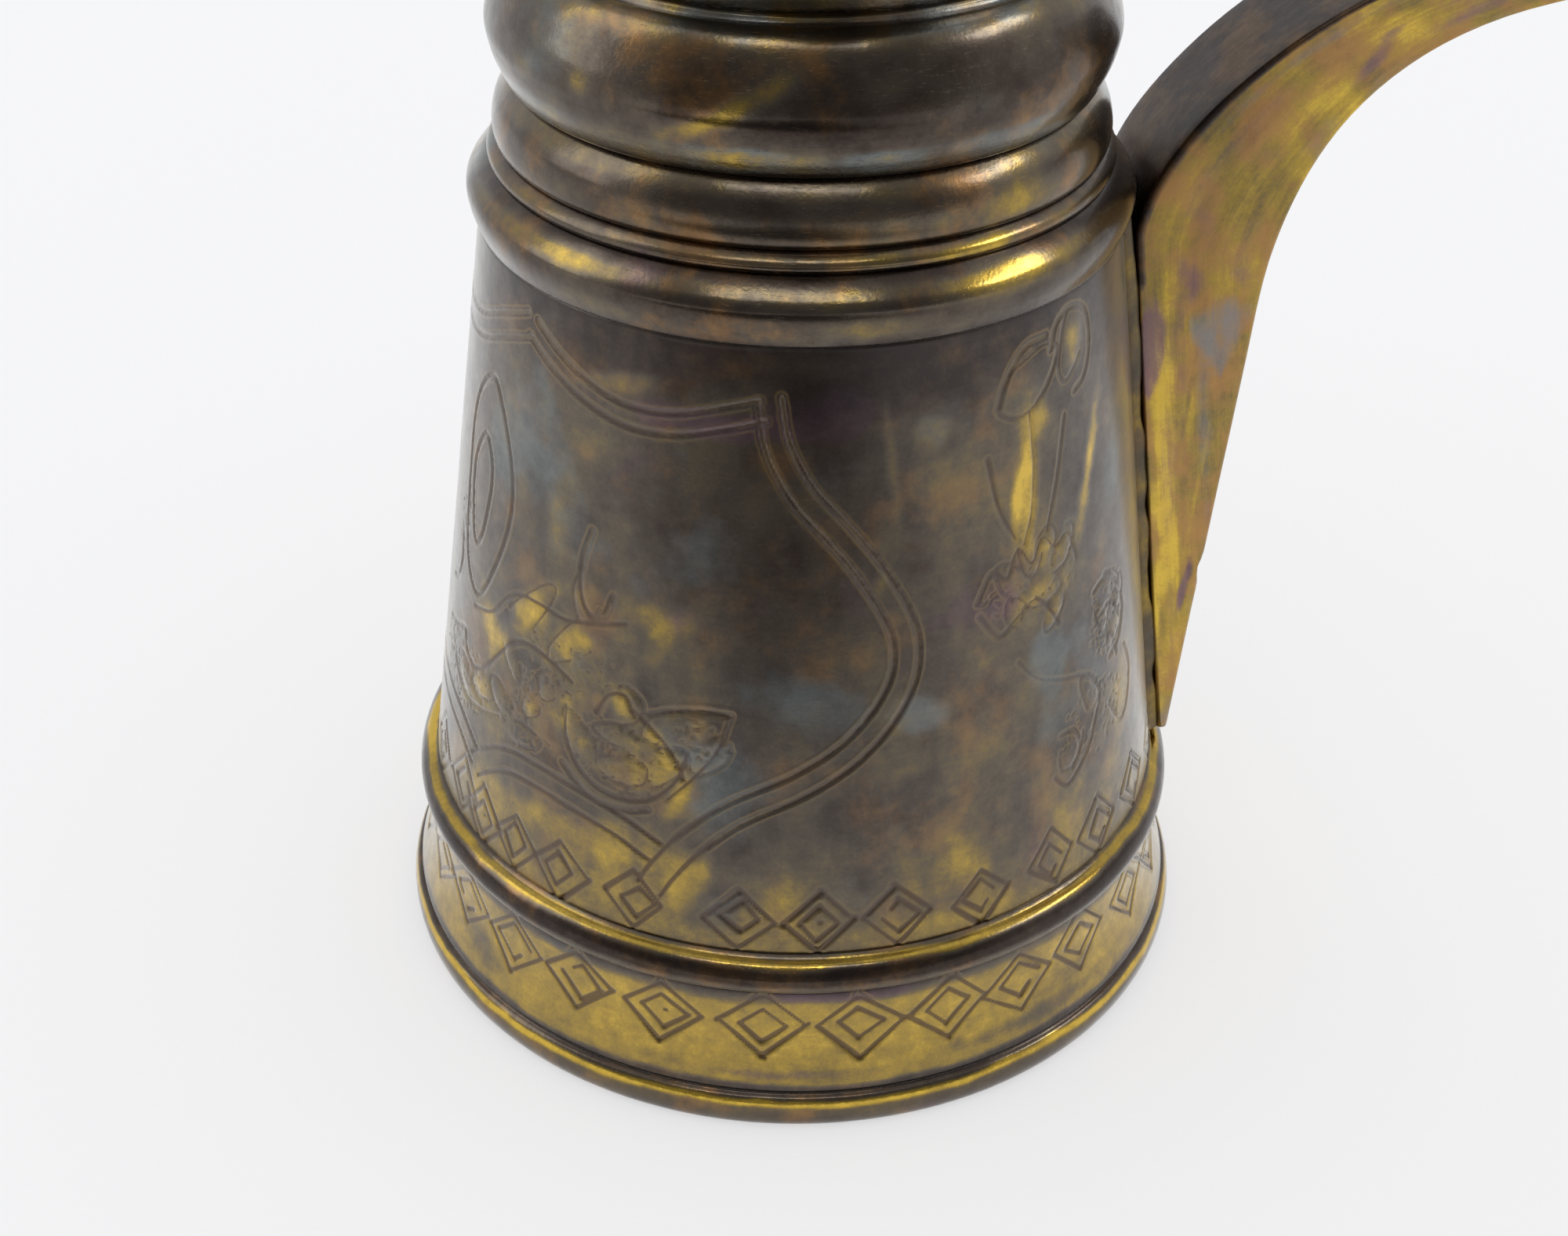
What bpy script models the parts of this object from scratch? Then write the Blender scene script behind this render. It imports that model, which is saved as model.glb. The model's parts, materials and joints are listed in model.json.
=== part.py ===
"""Turkish coffee pot (cezve): a small brass pot with a long handle, built as separate pieces.

Units are metres, +Z is up.  The origin is the middle of the underside, the handle points along
+X and the pouring lip along -Y, where a right-handed person tips the pot.
"""
import math

import bmesh
import bpy
from mathutils import Vector

MM = 0.001

# Driving dimensions
FOOT_RADIUS = 34.9 * MM
WALL = 1.2 * MM
GAP = 0.3 * MM
SEGMENTS = 60
ROUND_STEPS = 6

# Heights of the stacked pieces, each given by its top
BASE_PLATE_TOP = 1.4 * MM
FOOT_ROLL_TOP = 3.2 * MM
FOOT_BAND_TOP = 12.8 * MM
WAIST_BEAD_TOP = 16.0 * MM
BODY_CONE_TOP = 66.1 * MM
COLLAR_ROLL_TOP = 70.4 * MM
COLLAR_BEAD_TOP = 72.0 * MM
COLLAR_TORUS_TOP = 77.0 * MM
BULB_CREST_HEIGHT = 80.2 * MM
NECK_BULB_TOP = 87.0 * MM
NECK_CUP_TOP = 104.2 * MM

# Outside radii
BAND_BOTTOM_RADIUS = 34.2 * MM
BAND_WAIST_RADIUS = 32.9 * MM
BAND_TOP_RADIUS = 32.5 * MM
WAIST_BEAD_RADIUS = 33.4 * MM
CONE_BOTTOM_RADIUS = 31.8 * MM
CONE_TOP_RADIUS = 24.95 * MM
COLLAR_ROLL_RADIUS = 25.5 * MM
COLLAR_BEAD_RADIUS = 23.9 * MM
COLLAR_TORUS_RADIUS = 23.2 * MM
TORUS_TOP_RADIUS = 21.4 * MM
BULB_RADIUS = 23.6 * MM
BULB_SHOULDER_RADIUS = 21.4 * MM
NECK_RADIUS = 19.1 * MM
RIM_RADIUS = 28.2 * MM

# How far the turned pieces' edges step back from their crests
FOOT_ROLL_DEPTH = 3.6 * MM
FOOT_ROLL_SHOULDER = 0.8 * MM
WAIST_BEAD_LEDGE = 0.2 * MM
COLLAR_BEAD_INSET = 0.4 * MM
COLLAR_TORUS_INSET = 0.5 * MM
BULB_SHOULDER_TURN = math.radians(70)
BULB_LIP_INSET = 0.5 * MM
BULB_LIP_HEIGHT = 1.0 * MM
BULB_UNDERSIDE_INSET = 1.3 * MM

# Rim wire and pouring lip
RIM_WIRE_RADIUS = 1.1 * MM
LIP_REACH = 5.0 * MM
LIP_HALF_WIDTH = math.radians(15)
CUP_FLARE = 1.8

# Handle
HANDLE_WIDTH = 11.6 * MM
HANDLE_END_WIDTH = 6.0 * MM
ROOT_TIP_HEIGHT = 16.8 * MM
ROOT_TIP_DEPTH = 1.1 * MM
ROOT_TOP_HEIGHT = 64.6 * MM
ROOT_HEEL = Vector((36.3 * MM, 59.0 * MM))
BEND_TOP = Vector((48.0 * MM, 85.4 * MM))
BEND_UNDERSIDE = Vector((58.0 * MM, 82.2 * MM))
EYE_CENTRE = Vector((158.0 * MM, 102.5 * MM))
EYE_RADIUS = 4.6 * MM
EYE_HOLE_RADIUS = 1.9 * MM
ARM_END_DISTANCE = 2.6 * EYE_RADIUS
ARM_END_HALF_DEPTH = 2.6 * MM
SOLDER_RADIUS = 0.45 * MM
SOLDER_TOP_HEIGHT = BODY_CONE_TOP - 0.2 * MM

# Lengths of the Bezier handles that shape the handle's side outline
TOE_PULL = Vector((0.0, -0.6 * ROOT_TIP_DEPTH))
ROOT_TOP_PULL = Vector((0.6 * MM, 6.9 * MM))
ROOT_HEEL_PULL = Vector((1.1 * MM, 10.4 * MM))
BEND_TOP_PULL = Vector((12.5 * MM, 3.8 * MM))
BEND_UNDERSIDE_PULL = Vector((16.1 * MM, 2.5 * MM))
ARM_PULL = 12 * MM
ARM_END_PULL = 4 * MM
EYE_PULL = 0.56 * EYE_RADIUS

# Hanging ring
RING_RADIUS = 9.0 * MM
RING_WIRE_RADIUS = 1.1 * MM


def clear_scene():
    for item in list(bpy.data.objects):
        bpy.data.objects.remove(item, do_unlink=True)


def new_collection(name):
    collection = bpy.data.collections.new(name)
    bpy.context.scene.collection.children.link(collection)
    return collection


def brass(name, colour, roughness):
    material = bpy.data.materials.new(name)
    material.use_nodes = True
    shader = material.node_tree.nodes["Principled BSDF"]
    shader.inputs["Base Color"].default_value = (*colour, 1.0)
    shader.inputs["Roughness"].default_value = roughness
    shader.inputs["Metallic"].default_value = 1.0
    return material


def add_object(name, data, collection, material):
    piece = bpy.data.objects.new(name, data)
    data.materials.append(material)
    collection.objects.link(piece)
    return piece


def cone_radius(height):
    """Outside radius of the body cone at a height."""
    cone_bottom = WAIST_BEAD_TOP + GAP
    share = (height - cone_bottom) / (BODY_CONE_TOP - cone_bottom)
    return CONE_BOTTOM_RADIUS + (CONE_TOP_RADIUS - CONE_BOTTOM_RADIUS) * share


def half_round(top, bottom, crest_radius):
    """Arc points from (radius, height) top down to bottom, bulging out to crest_radius."""
    bulge = crest_radius - (top[0] + bottom[0]) / 2
    points = []
    for step in range(ROUND_STEPS + 1):
        angle = math.pi * step / ROUND_STEPS
        share = (1 - math.cos(angle)) / 2
        chord_radius = top[0] + (bottom[0] - top[0]) * share
        height = top[1] + (bottom[1] - top[1]) * share
        points.append((chord_radius + bulge * math.sin(angle), height))
    return points


def turned(name, profile, collection, material, closed=True):
    """Spin a (radius, height) profile, outer side first and top to bottom, about the Z axis."""
    mesh = bpy.data.meshes.new(name)
    edges = [(index, index + 1) for index in range(len(profile) - 1)]
    if closed:
        edges.append((len(profile) - 1, 0))
    mesh.from_pydata([(radius, 0.0, height) for radius, height in profile], edges, [])
    piece = add_object(name, mesh, collection, material)
    screw = piece.modifiers.new("Spin", "SCREW")
    screw.axis = "Z"
    screw.angle = math.tau
    screw.steps = SEGMENTS
    screw.render_steps = SEGMENTS
    screw.use_merge_vertices = True
    screw.merge_threshold = 0.00001
    screw.use_smooth_shade = True
    return piece


def walled(outer, thickness=WALL):
    """Close an outer side, given top to bottom, with an inner side one wall thickness inside it."""
    return outer + [(radius - thickness, height) for radius, height in reversed(outer)]


def as_mesh(piece, collection, material):
    """Swap an object for one that holds its evaluated mesh."""
    name = piece.name
    graph = bpy.context.evaluated_depsgraph_get()
    mesh = bpy.data.meshes.new_from_object(piece.evaluated_get(graph))
    build = bmesh.new()
    build.from_mesh(mesh)
    bmesh.ops.remove_doubles(build, verts=build.verts, dist=0.00001)
    build.to_mesh(mesh)
    build.free()
    placement = piece.matrix_world.copy()
    bpy.data.objects.remove(piece, do_unlink=True)
    mesh.materials.clear()
    solid = add_object(name, mesh, collection, material)
    solid.matrix_world = placement
    return solid


def smooth(piece):
    piece.data.shade_smooth()
    piece.data.set_sharp_from_angle(angle=math.radians(40))


def build_foot(collection, brass_plain, brass_engraved):
    """Base plate, rolled foot and the flared engraved band above it."""
    roll_inner = FOOT_RADIUS - FOOT_ROLL_DEPTH
    plate_radius = roll_inner - GAP
    plate = [(0.0, BASE_PLATE_TOP), (plate_radius, BASE_PLATE_TOP), (plate_radius, 0.0), (0.0, 0.0)]
    turned("base_plate", plate, collection, brass_plain, closed=False)

    shoulder = FOOT_RADIUS - FOOT_ROLL_SHOULDER
    roll = half_round((shoulder, FOOT_ROLL_TOP), (shoulder, 0.0), FOOT_RADIUS)
    turned("foot_roll", roll + [(roll_inner, 0.0), (roll_inner, FOOT_ROLL_TOP)], collection, brass_plain)

    band_bottom = FOOT_ROLL_TOP + GAP
    band = [
        (BAND_TOP_RADIUS, FOOT_BAND_TOP),
        (BAND_WAIST_RADIUS, (band_bottom + FOOT_BAND_TOP) / 2),
        (BAND_BOTTOM_RADIUS, band_bottom),
    ]
    turned("foot_band", walled(band), collection, brass_engraved)


def build_body(collection, brass_plain, brass_engraved):
    """Bead ring and the engraved cone that stands on it."""
    top = (CONE_BOTTOM_RADIUS + WAIST_BEAD_LEDGE, WAIST_BEAD_TOP)
    bottom = (BAND_TOP_RADIUS, FOOT_BAND_TOP + GAP)
    inner = CONE_BOTTOM_RADIUS - WALL
    bead = half_round(top, bottom, WAIST_BEAD_RADIUS)
    turned("waist_bead", bead + [(inner, bottom[1]), (inner, top[1])], collection, brass_plain)

    cone_bottom = WAIST_BEAD_TOP + GAP
    cone = [(cone_radius(BODY_CONE_TOP), BODY_CONE_TOP), (cone_radius(cone_bottom), cone_bottom)]
    turned("body_cone", walled(cone), collection, brass_engraved)


def build_collar(collection, material):
    """The three turned rings between the cone and the neck: roll, small bead and torus."""
    rings = [
        ("collar_roll", BODY_CONE_TOP, COLLAR_ROLL_TOP, CONE_TOP_RADIUS, COLLAR_BEAD_RADIUS,
         COLLAR_ROLL_RADIUS),
        ("collar_bead", COLLAR_ROLL_TOP, COLLAR_BEAD_TOP, COLLAR_BEAD_RADIUS - COLLAR_BEAD_INSET,
         COLLAR_TORUS_RADIUS - COLLAR_BEAD_INSET, COLLAR_BEAD_RADIUS),
        ("collar_torus", COLLAR_BEAD_TOP, COLLAR_TORUS_TOP, COLLAR_TORUS_RADIUS - COLLAR_TORUS_INSET,
         TORUS_TOP_RADIUS, COLLAR_TORUS_RADIUS),
    ]
    for name, below, top_height, bottom_radius, top_radius, crest in rings:
        bottom_height = below + GAP
        outer = half_round((top_radius, top_height), (bottom_radius, bottom_height), crest)
        inner = min(top_radius, bottom_radius) - WALL
        turned(name, outer + [(inner, bottom_height), (inner, top_height)], collection, material)


def build_neck_bulb(collection, material):
    """Bulging lower neck: a full round belly with a shoulder that turns in to the waist."""
    bottom = COLLAR_TORUS_TOP + GAP
    underside = BULB_RADIUS - BULB_UNDERSIDE_INSET
    outer = [(BULB_SHOULDER_RADIUS, NECK_BULB_TOP)]
    for step in range(1, 6):
        angle = BULB_SHOULDER_TURN * (1 - step / 5)
        height = BULB_CREST_HEIGHT + (NECK_BULB_TOP - BULB_CREST_HEIGHT) * math.sin(angle)
        radius = BULB_SHOULDER_RADIUS + (BULB_RADIUS - BULB_SHOULDER_RADIUS) * math.cos(angle)
        outer.append((radius, height))
    outer.append((BULB_RADIUS - BULB_LIP_INSET, bottom + BULB_LIP_HEIGHT))
    outer.append((underside, bottom))
    inner = [
        (underside - WALL, bottom),
        (BULB_RADIUS - WALL, BULB_CREST_HEIGHT),
        (BULB_SHOULDER_RADIUS - WALL, NECK_BULB_TOP - WALL),
        (NECK_RADIUS - WALL, NECK_BULB_TOP - WALL),
        (NECK_RADIUS - WALL, NECK_BULB_TOP),
    ]
    turned("neck_bulb", outer + inner, collection, material)


def lip_reach(x, y, height):
    """How far the pouring lip pulls the wall outwards at a place on the neck."""
    waist = NECK_BULB_TOP + GAP
    lift = max(0.0, (height - waist) / (NECK_CUP_TOP - waist))
    turn = math.atan2(x, -y) / LIP_HALF_WIDTH
    return LIP_REACH * math.exp(-turn * turn) * lift ** 3


def build_neck_cup(collection, material):
    """Flaring upper neck with its pouring lip, open at the top."""
    bottom = NECK_BULB_TOP + GAP
    outer = []
    for step in range(ROUND_STEPS + 1):
        share = 1 - step / ROUND_STEPS
        height = bottom + (NECK_CUP_TOP - bottom) * share
        outer.append((NECK_RADIUS + (RIM_RADIUS - NECK_RADIUS) * share ** CUP_FLARE, height))
    spun = turned("neck_cup", walled(outer), collection, material)
    cup = as_mesh(spun, collection, material)
    for vertex in cup.data.vertices:
        reach = lip_reach(*vertex.co)
        outward = Vector((vertex.co.x, vertex.co.y, 0.0)).normalized()
        vertex.co += outward * reach
    smooth(cup)


def build_rim_wire(collection, material):
    """Rolled rim: a round wire that follows the cup's edge and its lip."""
    centre_radius = RIM_RADIUS - WALL / 2
    height = NECK_CUP_TOP + GAP + RIM_WIRE_RADIUS
    points = []
    for step in range(SEGMENTS):
        angle = math.tau * step / SEGMENTS
        direction = Vector((math.cos(angle), math.sin(angle), 0.0))
        reach = lip_reach(direction.x, direction.y, NECK_CUP_TOP)
        points.append(direction * (centre_radius + reach) + Vector((0.0, 0.0, height)))
    wire("rim_wire", points, RIM_WIRE_RADIUS, True, collection, material)


def wire(name, points, radius, cyclic, collection, material):
    """Round wire through the given points, with closed ends where it has ends."""
    curve = bpy.data.curves.new(name, "CURVE")
    curve.dimensions = "3D"
    curve.bevel_depth = radius
    curve.bevel_resolution = 2
    curve.use_fill_caps = not cyclic
    spline = curve.splines.new("POLY")
    spline.points.add(len(points) - 1)
    for point, place in zip(spline.points, points):
        point.co = (*place, 1.0)
    spline.use_cyclic_u = cyclic
    return add_object(name, curve, collection, material)


def handle_outline():
    """Side outline of the handle as Bezier knots: (point, handle before, handle after)."""
    tip_inner = Vector((cone_radius(ROOT_TIP_HEIGHT) + GAP, ROOT_TIP_HEIGHT))
    tip_outer = tip_inner + Vector((ROOT_TIP_DEPTH, 0.0))
    root_top = Vector((cone_radius(ROOT_TOP_HEIGHT) + GAP, ROOT_TOP_HEIGHT))
    arm = (EYE_CENTRE - (BEND_TOP + BEND_UNDERSIDE) / 2).normalized()
    across = Vector((-arm.y, arm.x))
    eye_top = EYE_CENTRE + across * EYE_RADIUS
    eye_end = EYE_CENTRE + arm * EYE_RADIUS
    eye_under = EYE_CENTRE - across * EYE_RADIUS
    arm_end = EYE_CENTRE - arm * ARM_END_DISTANCE
    end_top = arm_end + across * ARM_END_HALF_DEPTH
    end_under = arm_end - across * ARM_END_HALF_DEPTH
    return [
        (tip_outer, tip_outer, tip_outer + TOE_PULL),
        (tip_inner, tip_inner + TOE_PULL, tip_inner),
        (root_top, root_top, root_top + ROOT_TOP_PULL),
        (BEND_TOP, BEND_TOP - BEND_TOP_PULL, BEND_TOP + arm * ARM_PULL),
        (end_top, end_top - arm * ARM_PULL, end_top + arm * ARM_END_PULL),
        (eye_top, eye_top - arm * EYE_PULL, eye_top + arm * EYE_PULL),
        (eye_end, eye_end + across * EYE_PULL, eye_end - across * EYE_PULL),
        (eye_under, eye_under + arm * EYE_PULL, eye_under - arm * EYE_PULL),
        (end_under, end_under + arm * ARM_END_PULL, end_under - arm * ARM_PULL),
        (BEND_UNDERSIDE, BEND_UNDERSIDE + arm * ARM_PULL, BEND_UNDERSIDE - BEND_UNDERSIDE_PULL),
        (ROOT_HEEL, ROOT_HEEL + ROOT_HEEL_PULL, ROOT_HEEL),
    ]


def build_handle(collection, cutters, material):
    """Cast handle: a flat bar set on edge, tapering sideways from the bend to the pierced eye."""
    curve = bpy.data.curves.new("handle_arm", "CURVE")
    curve.dimensions = "2D"
    curve.fill_mode = "BOTH"
    curve.extrude = HANDLE_WIDTH / 2
    curve.resolution_u = 8
    knots = handle_outline()
    spline = curve.splines.new("BEZIER")
    spline.bezier_points.add(len(knots) - 1)
    for point, (place, before, after) in zip(spline.bezier_points, knots):
        point.co = (*place, 0.0)
        point.handle_left = (*before, 0.0)
        point.handle_right = (*after, 0.0)
    spline.use_cyclic_u = True
    outline = add_object("handle_arm", curve, collection, material)
    outline.rotation_euler = (math.radians(90), 0.0, 0.0)
    bpy.context.view_layer.update()
    arm = as_mesh(outline, collection, material)

    hole = cylinder("eye_hole", EYE_HOLE_RADIUS, HANDLE_WIDTH * 2, cutters)
    hole.location = (EYE_CENTRE.x, 0.0, EYE_CENTRE.y)
    hole.rotation_euler = (math.radians(90), 0.0, 0.0)
    pierce = arm.modifiers.new("Pierce", "BOOLEAN")
    pierce.object = hole
    bpy.context.view_layer.update()
    arm = as_mesh(arm, collection, material)
    taper_sideways(arm)


def taper_sideways(arm):
    """Narrow the handle evenly from the bend to its end, in the object's own axes."""
    start = BEND_UNDERSIDE.x
    for vertex in arm.data.vertices:
        share = min(1.0, max(0.0, (vertex.co.x - start) / (EYE_CENTRE.x - start)))
        vertex.co.z *= 1 + (HANDLE_END_WIDTH / HANDLE_WIDTH - 1) * share


def cylinder(name, radius, length, collection):
    mesh = bpy.data.meshes.new(name)
    build = bmesh.new()
    bmesh.ops.create_cone(build, cap_ends=True, segments=24, radius1=radius, radius2=radius, depth=length)
    build.to_mesh(mesh)
    build.free()
    piece = bpy.data.objects.new(name, mesh)
    collection.objects.link(piece)
    piece.hide_render = True
    piece.display_type = "WIRE"
    return piece


def build_solder_seam(collection, material):
    """Beads of hard solder that run up both sides of the handle's root."""
    clearance = GAP + SOLDER_RADIUS
    side = HANDLE_WIDTH / 2 + clearance
    low = ROOT_TIP_HEIGHT - GAP
    steps = 8
    near = []
    for step in range(steps + 1):
        height = SOLDER_TOP_HEIGHT + (low - SOLDER_TOP_HEIGHT) * step / steps
        radius = cone_radius(height) + clearance
        near.append(Vector((math.sqrt(radius * radius - side * side), -side, height)))
    far = [Vector((place.x, -place.y, place.z)) for place in reversed(near)]
    wire("solder_seam_near", near, SOLDER_RADIUS, False, collection, material)
    wire("solder_seam_far", far, SOLDER_RADIUS, False, collection, material)


def build_hanging_ring(collection, material):
    """Wire ring through the handle's eye, hanging straight down; its origin is the hinge."""
    pivot = bpy.data.objects.new("hanging_ring_pivot", None)
    pivot.location = (EYE_CENTRE.x, 0.0, EYE_CENTRE.y)
    collection.objects.link(pivot)
    points = []
    steps = 40
    for step in range(steps):
        angle = math.tau * step / steps
        side, drop = RING_RADIUS * math.sin(angle), RING_RADIUS * (math.cos(angle) - 1)
        points.append(Vector((0.0, side, drop)))
    ring = wire("hanging_ring", points, RING_WIRE_RADIUS, True, collection, material)
    ring.parent = pivot


def main():
    clear_scene()
    parts = new_collection("coffee_pot")
    cutters = new_collection("cutters")
    brass_plain = brass("aged_brass", (0.42, 0.31, 0.13), 0.35)
    brass_engraved = brass("engraved_brass", (0.30, 0.23, 0.12), 0.45)
    brass_handle = brass("handle_brass", (0.55, 0.42, 0.12), 0.35)
    solder = brass("dark_solder", (0.12, 0.10, 0.09), 0.55)

    build_foot(parts, brass_plain, brass_engraved)
    build_body(parts, brass_plain, brass_engraved)
    build_collar(parts, brass_plain)
    build_neck_bulb(parts, brass_plain)
    build_neck_cup(parts, brass_plain)
    build_rim_wire(parts, brass_plain)
    build_handle(parts, cutters, brass_handle)
    build_solder_seam(parts, solder)
    build_hanging_ring(parts, brass_plain)


main()
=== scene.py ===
"""Looks of the small brass coffee pot: turned, chased and tarnished pieces around the fixed frame.

Shapes are worked out in millimetres.  A turn is an angle about the pot's axis in degrees, measured from
the pouring lip (-Y) towards the handle (+X).  Tarnish runs from 0 (bright) to 1 (black), and tint from
-1 (violet) to +1 (blue-grey).  In places both also carry painted light: highlights, shade and
reflections.
"""
import json
import math

import bmesh
import bpy
import numpy as np
from mathutils import Matrix, Vector


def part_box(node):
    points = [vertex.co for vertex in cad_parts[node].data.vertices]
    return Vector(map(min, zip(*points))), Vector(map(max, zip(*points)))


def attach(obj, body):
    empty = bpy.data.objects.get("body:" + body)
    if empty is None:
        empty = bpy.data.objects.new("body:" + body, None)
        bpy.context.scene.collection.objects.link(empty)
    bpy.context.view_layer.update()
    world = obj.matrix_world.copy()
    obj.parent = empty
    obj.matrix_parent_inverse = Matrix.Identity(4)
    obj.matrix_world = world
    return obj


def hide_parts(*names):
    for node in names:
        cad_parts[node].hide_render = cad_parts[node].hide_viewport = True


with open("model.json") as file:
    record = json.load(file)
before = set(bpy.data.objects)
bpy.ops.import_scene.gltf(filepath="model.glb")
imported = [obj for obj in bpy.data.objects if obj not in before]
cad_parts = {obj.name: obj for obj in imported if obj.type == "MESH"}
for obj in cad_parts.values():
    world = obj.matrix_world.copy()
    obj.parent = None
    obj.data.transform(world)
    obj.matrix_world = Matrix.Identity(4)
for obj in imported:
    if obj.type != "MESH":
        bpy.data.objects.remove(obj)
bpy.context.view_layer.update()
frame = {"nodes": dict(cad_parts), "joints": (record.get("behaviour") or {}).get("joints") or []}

MM = 0.001
RNG = np.random.default_rng(1907)

# Grids of the turned pieces, their wall, and how far they are let into their neighbours
COLUMNS = 300
BEAD_COLUMNS = 480
ENGRAVED_COLUMNS = 900
ENGRAVED_PITCH = 0.215
WALL = 1.2
LAP = 0.22

# Turns of the handle and of the engraved face's middle
HANDLE_TURN = 90.0
FACE_TURN = -8.0

# Noise on the pot's skin
NOISE_ROWS = 97
GIRTH = 180
SKIN_PER_DEGREE = 0.5


def limits(node):
    """Lowest and highest corner of a CAD node in millimetres."""
    low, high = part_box(node)
    return np.array(low) / MM, np.array(high) / MM


def cad_points(node):
    """The vertices of a CAD node in millimetres."""
    mesh = frame["nodes"][node].data
    points = np.zeros(len(mesh.vertices) * 3, np.float32)
    mesh.vertices.foreach_get("co", points)
    return points.reshape(-1, 3).astype(float) / MM


def cad_profile(node):
    """Outside of a turned CAD node from bottom to top as (radius, height) rows."""
    points = cad_points(node)
    heights = np.round(points[:, 2], 2)
    radii = np.hypot(points[:, 0], points[:, 1])
    return np.array([(radii[heights == level].max(), level) for level in np.unique(heights)])


def smooth_path(knots, steps):
    """Catmull-Rom curve through the knots."""
    p = np.asarray(knots, float)
    p = np.vstack([2 * p[0] - p[1], p, 2 * p[-1] - p[-2]])
    t = np.linspace(0, 1, steps, endpoint=False)[:, None]
    runs = []
    for a, b, c, d in zip(p[:-3], p[1:-2], p[2:-1], p[3:]):
        cubic = (3 * b - a - 3 * c + d) * t ** 3
        runs.append(0.5 * (2 * b + (c - a) * t + (2 * a - 5 * b + 4 * c - d) * t ** 2 + cubic))
    return np.vstack(runs + [p[-2]])


def lengths(chain):
    """Distance along a chain to each of its points."""
    return np.r_[0, np.cumsum(np.hypot(*np.diff(chain, axis=0).T))]


def points_along(path, places):
    """Points of a flat path at the given distances along it."""
    run = lengths(path)
    return np.stack([np.interp(places, run, path[:, axis]) for axis in range(2)], 1)


def resample(path, count):
    """The path at evenly spaced places along its length."""
    return points_along(path, np.linspace(0, lengths(path)[-1], count))


def fade(low, high, value):
    """Smooth step from 0 at low to 1 at high."""
    share = np.clip((value - low) / (high - low), 0, 1)
    return share * share * (3 - 2 * share)


def cell_noise(u, v, period, seed):
    """Smooth noise from -1 to 1 over the plane (u, v); u repeats after period cells."""
    table = np.random.default_rng(seed).uniform(-1, 1, (period, NOISE_ROWS))
    column, row = np.floor(u).astype(int), np.floor(v).astype(int)
    su, sv = fade(0, 1, u - column), fade(0, 1, v - row)
    near, far = column % period, (column + 1) % period
    low, high = row % NOISE_ROWS, (row + 1) % NOISE_ROWS
    bottom = table[near, low] * (1 - su) + table[far, low] * su
    top = table[near, high] * (1 - su) + table[far, high] * su
    return bottom * (1 - sv) + top * sv


def skin_noise(turn, height, size, seed, layers=3):
    """Layered noise on the pot's skin, with patches of about size millimetres."""
    turn, height = np.broadcast_arrays(turn, height)
    total = 0
    for layer in range(layers):
        cell = size / 2 ** layer
        period = max(3, round(GIRTH / cell))
        around = turn % 360 / 360 * period
        total = total + cell_noise(around, height / cell + 11, period, seed + layer) / 2 ** layer
    return total / 1.75


def short_way(turn, centre):
    """Degrees from centre to turn, the short way round."""
    return (turn - centre + 180) % 360 - 180


def face_places(turn):
    """A turn counted from the middle of the engraved face, and its mirror image beyond the handle."""
    return turn + FACE_TURN, 2 * HANDLE_TURN - turn - FACE_TURN


def tilted_reach(across, up, width, tall, tilt):
    """Distance from the middle of a tilted oval, where its outline is 1."""
    lean = math.radians(tilt)
    u = (across * math.cos(lean) - up * math.sin(lean)) / width
    v = (across * math.sin(lean) + up * math.cos(lean)) / tall
    return np.hypot(u, v)


# ---------------------------------------------------------------- tarnish and painted light on the pot

# Change in tarnish up each outer side: (share of the side from its bottom, change).
# Partly tarnish and partly painted light: the raised ends paint shade into the creases between pieces,
# and the lowered stretches paint highlight lines on the crests of the rolls and beads, and reflections
# on the bulb's lip and the cup's foot.
TARNISH_SHADE_AND_HIGHLIGHT_BANDS = {
    "foot_roll": [(0, 0.6), (0.3, 0.48), (0.55, 0.42), (0.68, 0.34), (0.745, -0.12), (0.82, -0.14),
                  (0.87, 0.45), (1, 0.85)],
    "foot_band": [(0, 0.85), (0.06, 0.66), (0.1, 0.1), (0.16, 0.04), (0.3, 0), (0.84, 0), (0.91, 0.2),
                  (1, 0.5)],
    "waist_bead": [(0, 0.62), (0.1, 0.42), (0.22, 0.26), (0.38, 0.3), (0.45, 0.62), (0.68, 0.62),
                   (0.76, 0.1), (0.8, -0.18), (0.91, -0.16), (0.97, 0.1), (1, 0.35)],
    "body_cone": [(0, 0.1), (0.012, 0.04), (0.03, 0), (0.97, 0), (1, 0.2)],
    "collar_roll": [(0, 0.3), (0.06, 0.06), (0.2, 0), (0.45, 0.1), (0.56, 0.04), (0.64, -0.12),
                    (0.76, -0.14), (0.84, 0.15), (1, 0.45)],
    "collar_bead": [(0, 0.3), (0.2, 0.12), (0.45, -0.1), (0.62, -0.18), (0.8, -0.05), (1, 0.2)],
    "collar_torus": [(0, 0.2), (0.08, 0.02), (0.3, -0.04), (0.5, 0.04), (0.62, 0.04), (0.72, -0.14),
                     (0.88, -0.14), (0.95, -0.04), (1, 0.15)],
    "neck_bulb": [(0, 0.4), (0.06, 0.25), (0.095, -0.05), (0.12, -0.2), (0.235, -0.2), (0.285, -0.02),
                  (0.34, 0.08), (0.5, 0.1), (0.66, 0.04), (0.72, -0.06), (0.78, -0.2), (0.84, -0.2),
                  (0.875, 0), (0.91, 0.15), (0.945, 0.12), (0.965, -0.1), (0.98, -0.24), (1, -0.24)],
    "neck_cup": [(0, -0.24), (0.1, -0.2), (0.22, -0.1), (0.5, 0), (1, -0.1)],
}
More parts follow.
